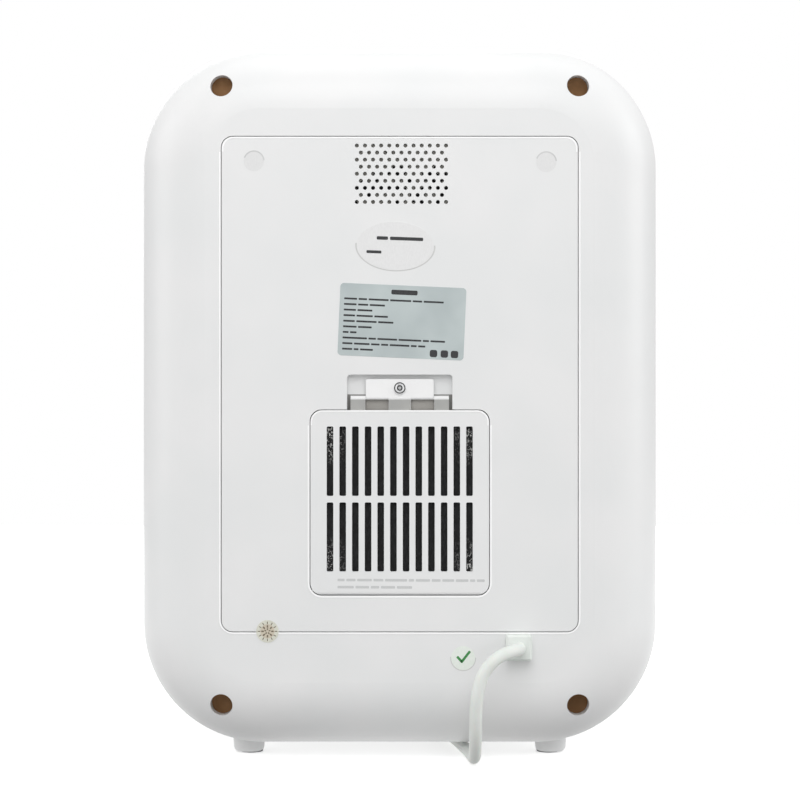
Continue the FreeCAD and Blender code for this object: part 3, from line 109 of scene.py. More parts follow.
def add_node(tree, kind, inputs=None, links=None, **settings):
    """A shader node with its settings, its socket values and its incoming links."""
    node = tree.nodes.new("ShaderNode" + kind)
    for key, value in settings.items():
        setattr(node, key, value)
    for socket, value in (inputs or {}).items():
        node.inputs[socket].default_value = value
    for socket, source in (links or {}).items():
        tree.links.new(source, node.inputs[socket])
    return node


def empty_tree(owner):
    """Node tree of a material or a world, with nothing in it."""
    owner.use_nodes = True
    owner.node_tree.nodes.clear()
    return owner.node_tree


def blank_material(name, shader_inputs):
    """A material with one Principled shader on its output, and its node tree."""
    material = bpy.data.materials.new(name)
    tree = empty_tree(material)
    shader = add_node(tree, "BsdfPrincipled", shader_inputs)
    add_node(tree, "OutputMaterial", links={"Surface": shader.outputs["BSDF"]})
    return material, tree


def feed(tree, socket, source):
    """The source drives one socket of the material's shader."""
    tree.links.new(source, tree.nodes["Principled BSDF"].inputs[socket])


def own_place(tree):
    """Coordinates of the piece itself."""
    return add_node(tree, "TexCoord").outputs["Object"]


def grain(tree, size_mm, detail=2.0, stretch=(1, 1, 1), distortion=0.0):
    """Noise on the piece's own coordinates, with features about size_mm across."""
    mapping = add_node(tree, "Mapping", {"Scale": stretch}, {"Vector": own_place(tree)})
    noise = add_node(tree, "TexNoise",
                     {"Scale": 1000.0 / size_mm, "Detail": detail, "Distortion": distortion},
                     {"Vector": mapping.outputs["Vector"]})
    return noise.outputs["Fac"]


def ranged(tree, source, start, end, low=0.0, high=1.0):
    """The source, with its values from start to end brought to those from low to high."""
    reach = {"From Min": start, "From Max": end, "To Min": low, "To Max": high}
    return add_node(tree, "MapRange", reach, {"Value": source}).outputs["Result"]


def maths(tree, operation, first, second):
    """One value worked out from two."""
    return add_node(tree, "Math", links={0: first, 1: second}, operation=operation).outputs[0]


def two_tone(tree, source, dark, light, low=0.0, high=1.0):
    """Colour that moves between two hex colours as the source goes from low to high."""
    ramp = add_node(tree, "ValToRGB", links={"Fac": source})
    first, last = ramp.color_ramp.elements
    first.position, first.color = low, colour(dark)
    last.position, last.color = high, colour(light)
    return ramp.outputs["Color"]


def tint(tree, source, dark, light, low=0.35, high=0.65):
    """Colour of the shader moves between two hex colours with the source."""
    feed(tree, "Base Color", two_tone(tree, source, dark, light, low, high))


def relief(tree, source, strength, height_mm):
    """Bump on the shader from the source."""
    bump = add_node(tree, "Bump", {"Strength": strength, "Distance": height_mm * MM},
                    {"Height": source})
    feed(tree, "Normal", bump.outputs["Normal"])


def roughen(tree, source, low, high):
    """Roughness of the shader moves between two values with the source."""
    feed(tree, "Roughness", ranged(tree, source, 0.0, 1.0, low, high))


# Materials, each named for what it is made of

def grained_material(name, inputs, pattern, tones, rough, bump=None, clouds_mm=None):
    """Material whose roughness and relief follow one noise, and its tone that noise or wider clouds.

    The pattern holds the arguments of grain, the tones those of tint, and the bump those of relief.
    """
    material, tree = blank_material(name, inputs)
    fine = grain(tree, *pattern)
    tint(tree, grain(tree, clouds_mm) if clouds_mm else fine, *tones)
    roughen(tree, fine, *rough)
    if bump:
        relief(tree, fine, *bump)
    return material


def moulded_abs(name="white ABS, fine satin", dark="E4E5E5", light="E8E8E8", rough=(0.34, 0.42)):
    """Injection-moulded ABS: an even, slightly soft gloss over a texture as fine as skin."""
    return grained_material(name, {"IOR": 1.53, "Coat Weight": 0.08, "Coat Roughness": 0.18}, (0.9, 3.0),
                            (dark, light), rough, bump=(0.08, 0.02), clouds_mm=60.0)


def matte_polymer(name, dark, light, rough=(0.5, 0.66), size_mm=0.7):
    """Spark-eroded mould texture on a plain polymer: grey sheen, no clear reflection."""
    return grained_material(name, {"IOR": 1.5}, (size_mm, 3.0), (dark, light), rough,
                            bump=(0.25, 0.05), clouds_mm=14.0)


def brushed_stainless(name="brushed stainless steel", dark="B2B3B3", light="D2D2D0", along="X"):
    """Belt-brushed sheet: long fine scratches pull the highlights across the grain."""
    stretch = {"X": (0.02, 1, 1), "Z": (1, 1, 0.02)}[along]
    return grained_material(name, {"Metallic": 1.0}, (0.7, 4.0, stretch), (dark, light, 0.3, 0.7),
                            (0.22, 0.38), bump=(0.12, 0.02))


def zinc_steel(name="zinc-plated steel", dark="9A9B9C", light="C4C5C6"):
    """Zinc-plated screws: grey metal with a faint crystal mottle."""
    return grained_material(name, {"Metallic": 1.0}, (1.2, 4.0), (dark, light), (0.24, 0.42))


def plated_brass():
    """Nickel-plated brass blades, worn to yellow along the contact faces."""
    return grained_material("plated brass", {"Metallic": 1.0}, (3.0, 3.0, (0.3, 1, 1)), ("B08D4E", "D9C38A"),
                            (0.2, 0.36))


def soft_pvc():
    """Cord sheath: plasticised PVC with a waxy gloss and a faint grey-green cast."""
    sheath = {"IOR": 1.53, "Subsurface Weight": 0.06, "Subsurface Scale": 0.001}
    return grained_material("soft PVC sheath", sheath, (0.8,), ("DFE3DE", "E7EAE6"), (0.36, 0.48),
                            bump=(0.1, 0.03), clouds_mm=22.0)


def nitrile_rubber():
    """Foot rubber: grey, dusty on its open faces."""
    return grained_material("nitrile rubber", {"IOR": 1.52}, (2.2, 4.0), ("6E6F70", "858687"), (0.7, 0.9),
                            bump=(0.3, 0.08))


def silicone():
    """Door seal: translucent silicone with a dry touch."""
    seal = {"IOR": 1.41, "Subsurface Weight": 0.2, "Subsurface Scale": 0.002}
    return grained_material("silicone rubber", seal, (1.5,), ("C9CBCA", "D8DAD9"), (0.5, 0.62))


def label_paper(name, dark, light, rough=0.6):
    """Coated label paper: smooth, with the short fibres just showing."""
    return grained_material(name, {"IOR": 1.45}, (0.8, 5.0, (1, 1, 0.4)), (dark, light),
                            (rough - 0.08, rough + 0.1), bump=(0.12, 0.03))


def printing_ink(name, dark, light):
    """Pad-printed ink: thin, a little uneven."""
    return grained_material(name, {"IOR": 1.48}, (0.5, 3.0), (dark, light), (0.45, 0.6))


def carbon_fleece():
    """Needle-felted carbon filter: matt black with a nap, and pale loose fibres towards its corners."""
    material, tree = blank_material("carbon filter fleece", {"Roughness": 0.95, "Sheen Weight": 0.2,
                                                             "Sheen Roughness": 0.5})
    nap = grain(tree, 1.1, 6.0, (1, 1, 0.35))
    relief(tree, nap, 0.7, 0.4)
    felt = two_tone(tree, nap, "070708", "222224", 0.4, 0.75)
    low, high = corners("filter_element")
    middle = (0.0, 0.0, (low.z + high.z) / 2)
    offset = add_node(tree, "VectorMath", {1: middle}, {0: own_place(tree)}, operation="SUBTRACT")
    away = add_node(tree, "VectorMath", links={0: offset.outputs[0]}, operation="ABSOLUTE")
    axes = add_node(tree, "SeparateXYZ", links={"Vector": away.outputs[0]})
    # How far from the middle the loose fibres start, and where they are at their thickest
    near_corner = [ranged(tree, axes.outputs[axis], start, end)
                   for axis, start, end in (("X", 0.031, 0.041), ("Z", 0.021, 0.036))]
    strands = ranged(tree, grain(tree, 1.3, 3.0, (1, 1, 0.6), 1.4), 0.56, 0.6)
    shown = maths(tree, "MULTIPLY", strands, maths(tree, "MULTIPLY", *near_corner))
    mix = add_node(tree, "Mix", {7: colour("C9C9C7")}, {0: shown, 6: felt}, data_type="RGBA")
    feed(tree, "Base Color", mix.outputs[2])
    return material


def patched_felt():
    """Thin felt behind the vent: pale grey, with black patches that are missing high up and grow more common
    towards the bottom.
    """
    material, tree = blank_material("grey felt with black patches", {"Roughness": 0.95})
    place = own_place(tree)
    spots = add_node(tree, "TexVoronoi", {"Scale": 1000 / 4.8}, {"Vector": place})
    tone = add_node(tree, "SeparateColor", links={"Color": spots.outputs["Color"]})
    axes = add_node(tree, "SeparateXYZ", links={"Vector": place})
    # No black patches above the first height, and their full share below the second
    share = ranged(tree, axes.outputs["Z"], 0.3575, 0.35, high=0.42)
    dark_marks = maths(tree, "LESS_THAN", tone.outputs["Red"], share)
    tint(tree, dark_marks, "9B9993", "101010", 0.3, 0.7)
    return material


def polished_material(name, code, inputs, clouds_mm, low, high):
    """Material of one colour, whose roughness moves between two low values in wide clouds."""
    material, tree = blank_material(name, {"Base Color": colour(code), **inputs})
    roughen(tree, grain(tree, clouds_mm), low, high)
    return material


def smoked_glass():
    """Tinted safety glass of the door: dark grey, clear enough to show the racks behind it."""
    tinted = {"IOR": 1.5, "Transmission Weight": 0.55, "Coat Weight": 0.3, "Coat Roughness": 0.02}
    return polished_material("smoked safety glass", "2B2F33", tinted, 30.0, 0.02, 0.05)


def quartz():
    """Fused quartz: passes ultraviolet light, clear and smooth."""
    clear = {"IOR": 1.46, "Transmission Weight": 0.9}
    return polished_material("fused quartz", "EAF2F6", clear, 12.0, 0.02, 0.06)


def piano_black(name="polished black acrylic", code="08080A"):
    """Cast acrylic behind the keys: deep black with a sharp gloss."""
    return polished_material(name, code, {"IOR": 1.49, "Coat Weight": 0.5, "Coat Roughness": 0.03},
                             5.0, 0.06, 0.12)


def circuit_board():
    """Glass-epoxy board under green solder mask, with copper tracks that show as paler lines."""
    material, tree = blank_material("glass-epoxy circuit board", {"IOR": 1.55})
    tones = {"Color1": colour("0F5B31"), "Color2": colour("0C4B29"), "Mortar": colour("2E8A52")}
    tracks = add_node(tree, "TexBrick", {"Scale": 260.0, "Mortar Size": 0.08, **tones},
                      {"Vector": own_place(tree)})
    feed(tree, "Base Color", tracks.outputs["Color"])
    roughen(tree, tracks.outputs["Fac"], 0.25, 0.4)
    return material


def enamelled_copper():
    """Motor winding: close turns of enamelled copper wire."""
    material, tree = blank_material("enamelled copper", {"Metallic": 1.0})
    wave = add_node(tree, "TexWave", {"Scale": 900.0, "Distortion": 0.4},
                    {"Vector": own_place(tree)}, bands_direction="Y")
    turns = wave.outputs["Fac"]
    tint(tree, turns, "7A3A1C", "C0703C")
    roughen(tree, turns, 0.3, 0.5)
    relief(tree, turns, 0.5, 0.2)
    return material


def silver_foil():
    """Rating plate: matt silver polyester foil, slightly wavy where it was pressed on."""
    material, tree = blank_material("matt silver polyester foil", {"Metallic": 0.25, "IOR": 1.5})
    waves = grain(tree, 26.0)
    tint(tree, waves, "A6AFB0", "B7C0C0", 0.3, 0.7)
    roughen(tree, grain(tree, 0.6), 0.38, 0.52)
    relief(tree, waves, 0.25, 0.15)
    return material


def backdrop_paper():
    """Seamless paper: white to the camera, grey to the light that bounces off it.

    Under and round the appliance the paper also glows where the camera can't see it, a painted glow that
    lifts the lower edge of the cabinet.
    """
    material = bpy.data.materials.new("seamless backdrop paper")
    tree = empty_tree(material)
    fibres = two_tone(tree, grain(tree, 4.0, 4.0), "F4F4F3", "FAFAFA")
    paper = add_node(tree, "BsdfDiffuse", links={"Color": fibres})
    glow = add_node(tree, "Emission", {"Strength": PAPER_GLOW})
    seen = add_node(tree, "AddShader", links={0: paper.outputs["BSDF"], 1: glow.outputs["Emission"]})
    grey = add_node(tree, "BsdfDiffuse", {"Color": colour(FLOOR_BOUNCE)})
    # Painted glow: the paper near the appliance glows for bounced light only
    away = add_node(tree, "VectorMath", links={0: own_place(tree)}, operation="LENGTH")
    under = ranged(tree, away.outputs["Value"], GLOW_END, GLOW_FULL, high=HIDDEN_FLOOR_GLOW)
    hidden_glow = add_node(tree, "Emission", links={"Strength": under})
    bounce = add_node(tree, "AddShader", links={0: grey.outputs["BSDF"], 1: hidden_glow.outputs["Emission"]})
    rays = add_node(tree, "LightPath").outputs
    direct = maths(tree, "MAXIMUM", rays["Is Camera Ray"], rays["Is Glossy Ray"])
    shown = maths(tree, "MAXIMUM", direct, rays["Is Transmission Ray"])
    mix = add_node(tree, "MixShader",
                   links={"Fac": shown, 1: bounce.outputs["Shader"], 2: seen.outputs["Shader"]})
    add_node(tree, "OutputMaterial", links={"Surface": mix.outputs["Shader"]})
    return material


# Modelling helpers

def deselect():
    """Nothing selected, so that the next operator acts only on the new piece."""
    if bpy.context.object and bpy.context.object.mode != "OBJECT":
        bpy.ops.object.mode_set(mode="OBJECT")
    bpy.ops.object.select_all(action="DESELECT")


def apply_modifier(piece, kind, **settings):
    """One modifier, set and applied."""
    bpy.context.view_layer.objects.active = piece
    modifier = piece.modifiers.new(kind, kind)
    for key, value in settings.items():
        setattr(modifier, key, value)
    bpy.ops.object.modifier_apply(modifier=modifier.name)


def start_flat(width, height, oval=False):
    """Plane or disc in XY, brought to size and left in edit mode with all of it selected."""
    deselect()
    if oval:
        bpy.ops.mesh.primitive_circle_add(vertices=96, radius=0.5, fill_type="NGON")
    else:
        bpy.ops.mesh.primitive_plane_add(size=1.0)
    piece = bpy.context.object
    piece.scale = (width, height, 1)
    bpy.ops.object.transform_apply(location=True, rotation=True, scale=True)
    bpy.ops.object.mode_set(mode="EDIT")
    bpy.ops.mesh.select_all(action="SELECT")
    return piece


def close_edit():
    """All normals outwards, and back to object mode."""
    bpy.ops.mesh.select_all(action="SELECT")
    bpy.ops.mesh.normals_make_consistent(inside=False)
    bpy.ops.object.mode_set(mode="OBJECT")


def finish_piece(piece, name, material, body="casing"):
    """Name, material, body and material slot of a finished piece."""
    piece.name = name
    piece.data.name = name
    piece.data.materials.clear()
    piece.data.materials.append(material)
    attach(piece, body)
    return piece


def join(pieces):
    """Several pieces as one mesh."""
    deselect()
    for piece in pieces:
        piece.select_set(True)
    bpy.context.view_layer.objects.active = pieces[0]
    if len(pieces) > 1:
        bpy.ops.object.join()
    return bpy.context.object


def repeated(piece, places):
    """Copies of a piece, one at each place and each with its own mesh, joined into one."""
    copies = []
    for place in places:
        twin = piece.copy()
        twin.data = piece.data.copy()
        bpy.context.scene.collection.objects.link(twin)
        copies.append(moved(twin, place))
    bpy.data.objects.remove(piece)
    return join(copies)


def moved(piece, place):
    """The piece, with its mesh moved by a matrix."""
    piece.data.transform(place)
    return piece


def shift(x, y, z=0.0):
    """Matrix of a straight move."""
    return Matrix.Translation((x, y, z))


def turned(degrees):
    """Matrix of an anticlockwise turn in XY."""
    return Matrix.Rotation(math.radians(degrees), 4, "Z")


def on_back(x, z, turn_deg=0.0, y=BACK_Y):
    """Matrix that stands a flat piece on the back; a positive turn is clockwise to the camera."""
    turn = math.radians(turn_deg)
    right = Vector((-math.cos(turn), 0, -math.sin(turn)))
    up = Vector((-math.sin(turn), 0, math.cos(turn)))
    axes = Matrix((right, up, Vector((0, 1, 0)))).transposed().to_4x4()
    return shift(x, y, z) @ axes


def on_front(x, z, y):
    """Matrix that stands a flat piece on a face that looks along -Y."""
    axes = Matrix(((1, 0, 0), (0, 0, 1), (0, -1, 0))).transposed().to_4x4()
    return shift(x, y, z) @ axes


def label_blank(width, height, thickness, radius):
    """Rounded rectangle or, with no radius, an ellipse, lying in XY with its face up."""
    piece = start_flat(width, height, oval=radius is None)
    if radius:
        bpy.ops.mesh.bevel(offset=radius, segments=8, affect="VERTICES")
    bpy.ops.mesh.extrude_region_move(TRANSFORM_OT_translate={"value": (0, 0, thickness)})
    close_edit()
    return piece


def soft_edge(piece, width=0.06 * MM):
    """Rounds the sharp edges by a hair."""
    apply_modifier(piece, "BEVEL", width=width, segments=2, limit_method="ANGLE")
    return piece


def flat_ring(radius, width, thickness, start_deg=0, end_deg=360):
    """Flat arc or ring in XY, spun from a short line; the angles count anticlockwise from +X."""
    piece = start_flat(1.0, 1.0)
    mesh = bmesh.from_edit_mesh(piece.data)
    bmesh.ops.delete(mesh, geom=mesh.verts[2:], context="VERTS")
    for vertex, away in zip(mesh.verts, (radius, radius + width)):
        vertex.co = turned(start_deg) @ Vector((away, 0, 0))
    bmesh.update_edit_mesh(piece.data)
    bpy.ops.mesh.spin(steps=36, angle=math.radians(start_deg - end_deg), center=(0, 0, 0), axis=(0, 0, 1))
    bpy.ops.mesh.select_all(action="SELECT")
    bpy.ops.mesh.remove_doubles(threshold=1e-6)
    close_edit()
    apply_modifier(piece, "SOLIDIFY", thickness=thickness, offset=0.0)
    return piece


def rounded_band(width, height, corner, segments, depth, turn=None, lower=True):
    """Upright band along a rounded rectangle in XY; with a turn, kept only below it or above it."""
    piece = start_flat(width, height)
    bpy.ops.mesh.bevel(offset=corner, segments=segments, affect="VERTICES")
    bpy.ops.mesh.select_all(action="SELECT")
    bpy.ops.mesh.delete(type="ONLY_FACE")
    if turn is not None:
        mesh = bmesh.from_edit_mesh(piece.data)
        bmesh.ops.bisect_plane(mesh, geom=mesh.verts[:] + mesh.edges[:], plane_co=(0, turn, 0),
                               plane_no=(0, 1, 0), clear_outer=lower, clear_inner=not lower)
        bmesh.update_edit_mesh(piece.data)
    bpy.ops.mesh.select_all(action="SELECT")
    bpy.ops.mesh.extrude_edges_move(TRANSFORM_OT_translate={"value": (0, 0, depth)})
    close_edit()
    return piece


def bar(x0, x1, y, height, lift):
    """One printed bar, from x0 to x1 on the label's own axes."""
    piece = label_blank(x1 - x0, height, INK_THICKNESS, height * 0.3)
    return moved(piece, shift((x0 + x1) / 2, y, lift))


def printed_rows(rows, left, height, lift, gap=0.35):
    """Rows of plain bars in place of print; each row is its y and the lengths of its bars in mm."""
    bars = []
    for y, lengths in rows:
        x = left
        for run in lengths:
            bars.append(bar(x * MM, (x + run) * MM, y * MM, height * MM, lift))
            x += run + gap
    return join(bars)


# Sizes and light that a user may change

def length(name, description, default):
    """A setting that is a length."""
    return FloatProperty(name=name, description=description, default=default, unit="LENGTH")


def two_lengths(name, description, default):
    """A setting that holds a width and a height."""
    return FloatVectorProperty(name=name, description=description, size=2, default=default, unit="LENGTH")


class StageSettings(PropertyGroup):
    """Studio around the appliance."""
    lens: FloatProperty(name="Lens", description="Focal length of the camera in millimetres",
                        default=CAMERA_LENS_MM, unit="CAMERA")
    place: FloatVectorProperty(name="Camera place", description="Where the camera stands",
                               default=CAMERA_PLACE, subtype="TRANSLATION", unit="LENGTH")
    brightness: FloatProperty(name="Lights", description="Brightness of all the lamps together",
                              default=1.0, min=0.0, subtype="FACTOR")
    ambient: FloatProperty(name="Ambient", description="Strength of the even light from all round",
                           default=0.765, min=0.0)


class CordSettings(PropertyGroup):
    """Supply cord."""
    diameter: length("Cord diameter", "Outer diameter of the sheath", 7.4 * MM)
    coil_radius: length("Coil radius", "Radius of the outermost turn's centre", 45.5 * MM)
    coil_pitch: length("Turn pitch", "Distance between neighbouring turns", 8.0 * MM)
    coil_layer: length("Layer height", "Height of the second layer over the first", 8.1 * MM)
    points_per_turn: IntProperty(name="Points per turn", description="Control points in each turn",
                                 default=16, min=12)


class LabelSettings(PropertyGroup):
    """Labels on the back."""
    thickness: length("Label thickness", "Thickness of the labels", 0.18 * MM)
    plate_size: two_lengths("Rating plate", "Width and height of the rating plate", mm(74.3, 42.7))
    oval_size: two_lengths("Oval sticker", "Width and height of the oval sticker", mm(45.6, 28.8))
    seal_diameter: length("Paper seal", "Diameter of the seal over the panel's seam", 13.2 * MM)
    dot_diameter: length("Round sticker", "Diameter of the ticked sticker", 14.2 * MM)


# Places on the back: how far to +X and up each label or part has its middle, and the labels' tilts
PLATE_PLACE = mm(-1.3, 262.1)
OVAL_PLACE = mm(2.6, 306.7)
OVAL_MARKS_PLACE = mm(1.3, 306.7)
SEAL_PLACE = mm(78.0, 79.5)
DOT_PLACE = mm(-37.4, 63.7)
COVER_MARKS_PLACE = mm(0.0, 107.6)
CAP_PLACES = (mm(86.0, 356.8), mm(-86.4, 356.3))
TAB_PLACE, TAB_SIZE = mm(0.0, 222.65), mm(40.0, 11.1)
PLATE_TILT_DEG, STICKER_TILT_DEG, MARKS_TILT_DEG = 2.5, 2.0, 0.3

# Felt inside the cabinet: its middle, its depth, and its width, height and thickness
FELT_PLACE, FELT_Y = mm(-1.0, 349.3), 168.75 * MM
FELT_SIZE = mm(60.0, 42.0, 0.15)

# Print, lift of the seal over the seam, the painted shadows along the stickers' lower edges and the films
# over the caps
INK_THICKNESS = 0.03 * MM
SEAL_LIFT = 0.1 * MM
RIM_WIDTH = 0.55 * MM
CAP_FILM_DIAMETER = 12.0 * MM

# Latch: half widths of the spring strip's legs and slits, their tops, and the depths of the faces
LEG_INNER, LEG_OUTER, MIDDLE_LEG, SLIT_OUTER = mm(20.6, 29.0, 6.4, 31.0)
LEG_TOP, SLIT_TOP = mm(216.2, 218.5)
FACE_THICKNESS = 0.1 * MM
LEG_Y, FLOOR_Y, TAB_Y, STRIP_Y = mm(170.72, 167.02, 170.22, 169.83)

# Seams: half width and top of the filter cover's seam, its corners, and the beads beside the seams
COVER_HALF_W, COVER_TOP = mm(52.7, 209.9)
SEAM_CORNER = 7.0 * MM
BEAD_WIDTH, BEAD_HEIGHT = mm(0.9, 0.2)
BEAD_OUT, BEAD_IN = mm(1.15, 0.6)

# Feet: middles of the four, and how each skirt rises and widens
FOOT_XS, FOOT_YS = mm(-92.6, 92.6), mm(112.0, -95.0)
SKIRT_RADIUS, SKIRT_BOTTOM = mm(8.0, 0.7)
SKIRT_STEPS = ((0.9 * MM, 1.12), (1.6 * MM, 1.05), (5.7 * MM, 1.04))

# Route of the free cord in metres, the same points as the part's own route
LEAD_ROUTE = [
    (-0.0700, 0.1810, 0.0705), (-0.0700, 0.1900, 0.0705), (-0.0654, 0.1998, 0.0708),
    (-0.0559, 0.2050, 0.0678), (-0.0478, 0.2064, 0.0588), (-0.0446, 0.2060, 0.0472),
    (-0.0438, 0.2032, 0.0338), (-0.0439, 0.1968, 0.0204), (-0.0441, 0.1856, 0.0092),
    (-0.0439, 0.1696, 0.0037), (-0.0424, 0.1440, 0.0037), (-0.0378, 0.1060, 0.0037),
    (-0.0304, 0.0580, 0.0037), (-0.0218, 0.0080, 0.0037), (-0.0152, -0.0420, 0.0037),
    (-0.0118, -0.0920, 0.0037), (-0.0106, -0.1340, 0.0037), (-0.0110, -0.1660, 0.0037),
]
TAIL_ROUTE = [
    (0.0600, -0.2492, 0.0116), (0.0770, -0.2456, 0.0098), (0.0910, -0.2370, 0.0080),
    (0.1020, -0.2250, 0.0080),
]
COIL_CENTRE = (0.034, -0.203)
COIL_TURNS = 4.25
HALF_TURNS = COIL_TURNS / 2
COIL_START_DEG = 180.0
TIE_DEG = 300.0
TIE_WIDTH, TIE_CORNER = mm(9.0, 3.6)


# Operators, one for each piece or group of like pieces

class STERILIZER_OT_stage(Operator):
    """Camera, lights, floor and backdrop."""
    bl_idname = "sterilizer.stage"
    bl_label = "Studio"

    def execute(self, context):
        settings = context.scene.sterilizer_stage
        self.camera(context, settings)
        self.backdrop()
        for name, place, aim_height, power, size in LIGHTS:
            self.light(name, place, aim_height, power * settings.brightness, size)
        self.world(context, settings)
        context.scene.view_settings.view_transform = "Standard"
        return {"FINISHED"}

    def camera(self, context, settings):
        """Camera that looks straight along -Y."""
        deselect()
        bpy.ops.object.camera_add(location=settings.place, rotation=(math.radians(90), 0, math.radians(180)))
        camera = context.object
        camera.data.lens = settings.lens
        camera.data.sensor_width = SENSOR_WIDTH_MM
        context.scene.camera = camera

    def backdrop(self):
        """Floor with a wall that curves up from its far edge."""
        floor = start_flat(FLOOR_WIDTH, FLOOR_DEPTH)
        wall_side = 0.1 - FLOOR_DEPTH / 2
        self.select_edges(floor, lambda place: place.y < wall_side)
        bpy.ops.mesh.extrude_region_move(TRANSFORM_OT_translate={"value": (0, 0, WALL_HEIGHT)})
        self.select_edges(floor, lambda place: place.y < wall_side and abs(place.z) < 0.01)
        bpy.ops.mesh.bevel(offset=WALL_CURVE, segments=24, affect="EDGES")
        bpy.ops.object.mode_set(mode="OBJECT")
        bpy.ops.object.shade_smooth()
        floor.name = "backdrop"
        floor.data.materials.append(backdrop_paper())

    def select_edges(self, piece, wanted):
        """Selects the edges whose ends both pass the test, and nothing else."""
        bpy.ops.mesh.select_all(action="DESELECT")
        mesh = bmesh.from_edit_mesh(piece.data)
        for edge in mesh.edges:
            edge.select = all(wanted(vertex.co) for vertex in edge.verts)
        bmesh.update_edit_mesh(piece.data)

    def light(self, name, place, aim_height, power, size):
        """Round soft light that faces a point over the middle of the floor."""
        deselect()
        bpy.ops.object.light_add(type="AREA", location=place)
        lamp = bpy.context.object
        lamp.name = name
        lamp.data.energy = power
        lamp.data.shape = "DISK"
        lamp.data.size = size
        direction = Vector((0, 0, aim_height)) - Vector(place)
        lamp.rotation_euler = direction.to_track_quat("-Z", "Y").to_euler()

    def world(self, context, settings):
        """Even light from all round, and white where the camera looks past the paper."""
        context.scene.world = bpy.data.worlds.new("studio")
        tree = empty_tree(context.scene.world)
        white = colour("FFFFFF")
        even = add_node(tree, "Background", {"Color": white, "Strength": settings.ambient})
        seen = add_node(tree, "Background", {"Color": white, "Strength": 1.0})
        path = add_node(tree, "LightPath")
        mix = add_node(tree, "MixShader",
                       links={"Fac": path.outputs["Is Camera Ray"], 1: even.outputs["Background"],
                              2: seen.outputs["Background"]})
        add_node(tree, "OutputWorld", links={"Surface": mix.outputs["Shader"]})


class STERILIZER_OT_cord(Operator):
    """Supply cord on its real route, with its coil and the tie that holds it."""
    bl_idname = "sterilizer.cord"
    bl_label = "Supply cord"

    def execute(self, context):
        settings = context.scene.sterilizer_cord
        steps = round(COIL_TURNS * settings.points_per_turn)
        coil = [self.coil_place(settings, COIL_TURNS * step / steps) for step in range(steps + 1)]
        route = LEAD_ROUTE + coil + TAIL_ROUTE
        curve = bpy.data.curves.new("supply_cord", "CURVE")
        curve.dimensions = "3D"
        spline = curve.splines.new("NURBS")
        spline.points.add(len(route) - 1)
        for point, place in zip(spline.points, route):
            point.co = (*place, 1.0)
        spline.order_u = 3
        spline.use_endpoint_u = True
        spline.resolution_u = 6
        curve.bevel_depth = settings.diameter / 2
        curve.bevel_resolution = 6
        curve.use_fill_caps = True
        cord = bpy.data.objects.new("supply_cord", curve)
        context.scene.collection.objects.link(cord)
        finish_piece(cord, "supply_cord", soft_pvc())
        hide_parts("cord_lead", "cord_coil", "cord_tail")
        tie = self.tie(settings)
        return {"FINISHED"}

    def coil_place(self, settings, turn):
        """Centre of the cord after so many turns: inwards, up a layer, and outwards again."""
        away = abs(turn - HALF_TURNS)
        inwards = HALF_TURNS - away if away > 0.25 else HALF_TURNS - 0.125 - away ** 2 * 2
        radius = settings.coil_radius - settings.coil_pitch * inwards
        climb = min(max((turn - HALF_TURNS) / 0.5 + 0.5, 0.0), 1.0)
        z = settings.diameter / 2 + settings.coil_layer * climb ** 2 * (3 - 2 * climb)
        angle = math.radians(COIL_START_DEG) + 2 * math.pi * turn
        return (COIL_CENTRE[0] + radius * math.cos(angle), COIL_CENTRE[1] + radius * math.sin(angle), z)

    def tie(self, settings):
        """Soft strap round all the turns on the side away from the cabinet."""
        wire = settings.diameter
        outer = settings.coil_radius + wire / 2 + 0.9 * MM
        inner = settings.coil_radius - settings.coil_pitch * HALF_TURNS - wire / 2 - 0.3 * MM
        high = wire + settings.coil_layer + 0.9 * MM
        strap = rounded_band(outer - inner, high - 0.1 * MM, TIE_CORNER, 8, TIE_WIDTH)
        apply_modifier(strap, "SOLIDIFY", thickness=0.7 * MM, offset=1.0)
        soft_edge(strap, 0.15 * MM)
        angle = math.radians(TIE_DEG)
        radial = Vector((math.cos(angle), math.sin(angle), 0))
        along = Vector((-radial.y, radial.x, 0))
        axes = Matrix((radial, Vector((0, 0, 1)), -along)).transposed().to_4x4()
        middle = Vector((*COIL_CENTRE, 0)) + radial * (outer + inner) / 2 + Vector((0, 0, high / 2))
        moved(strap, shift(*(middle + along * TIE_WIDTH / 2)) @ axes)
        woven = label_paper("woven cord tie", "D4D6D2", "E2E3E0", 0.85)
        return finish_piece(strap, "cord_tie", woven)


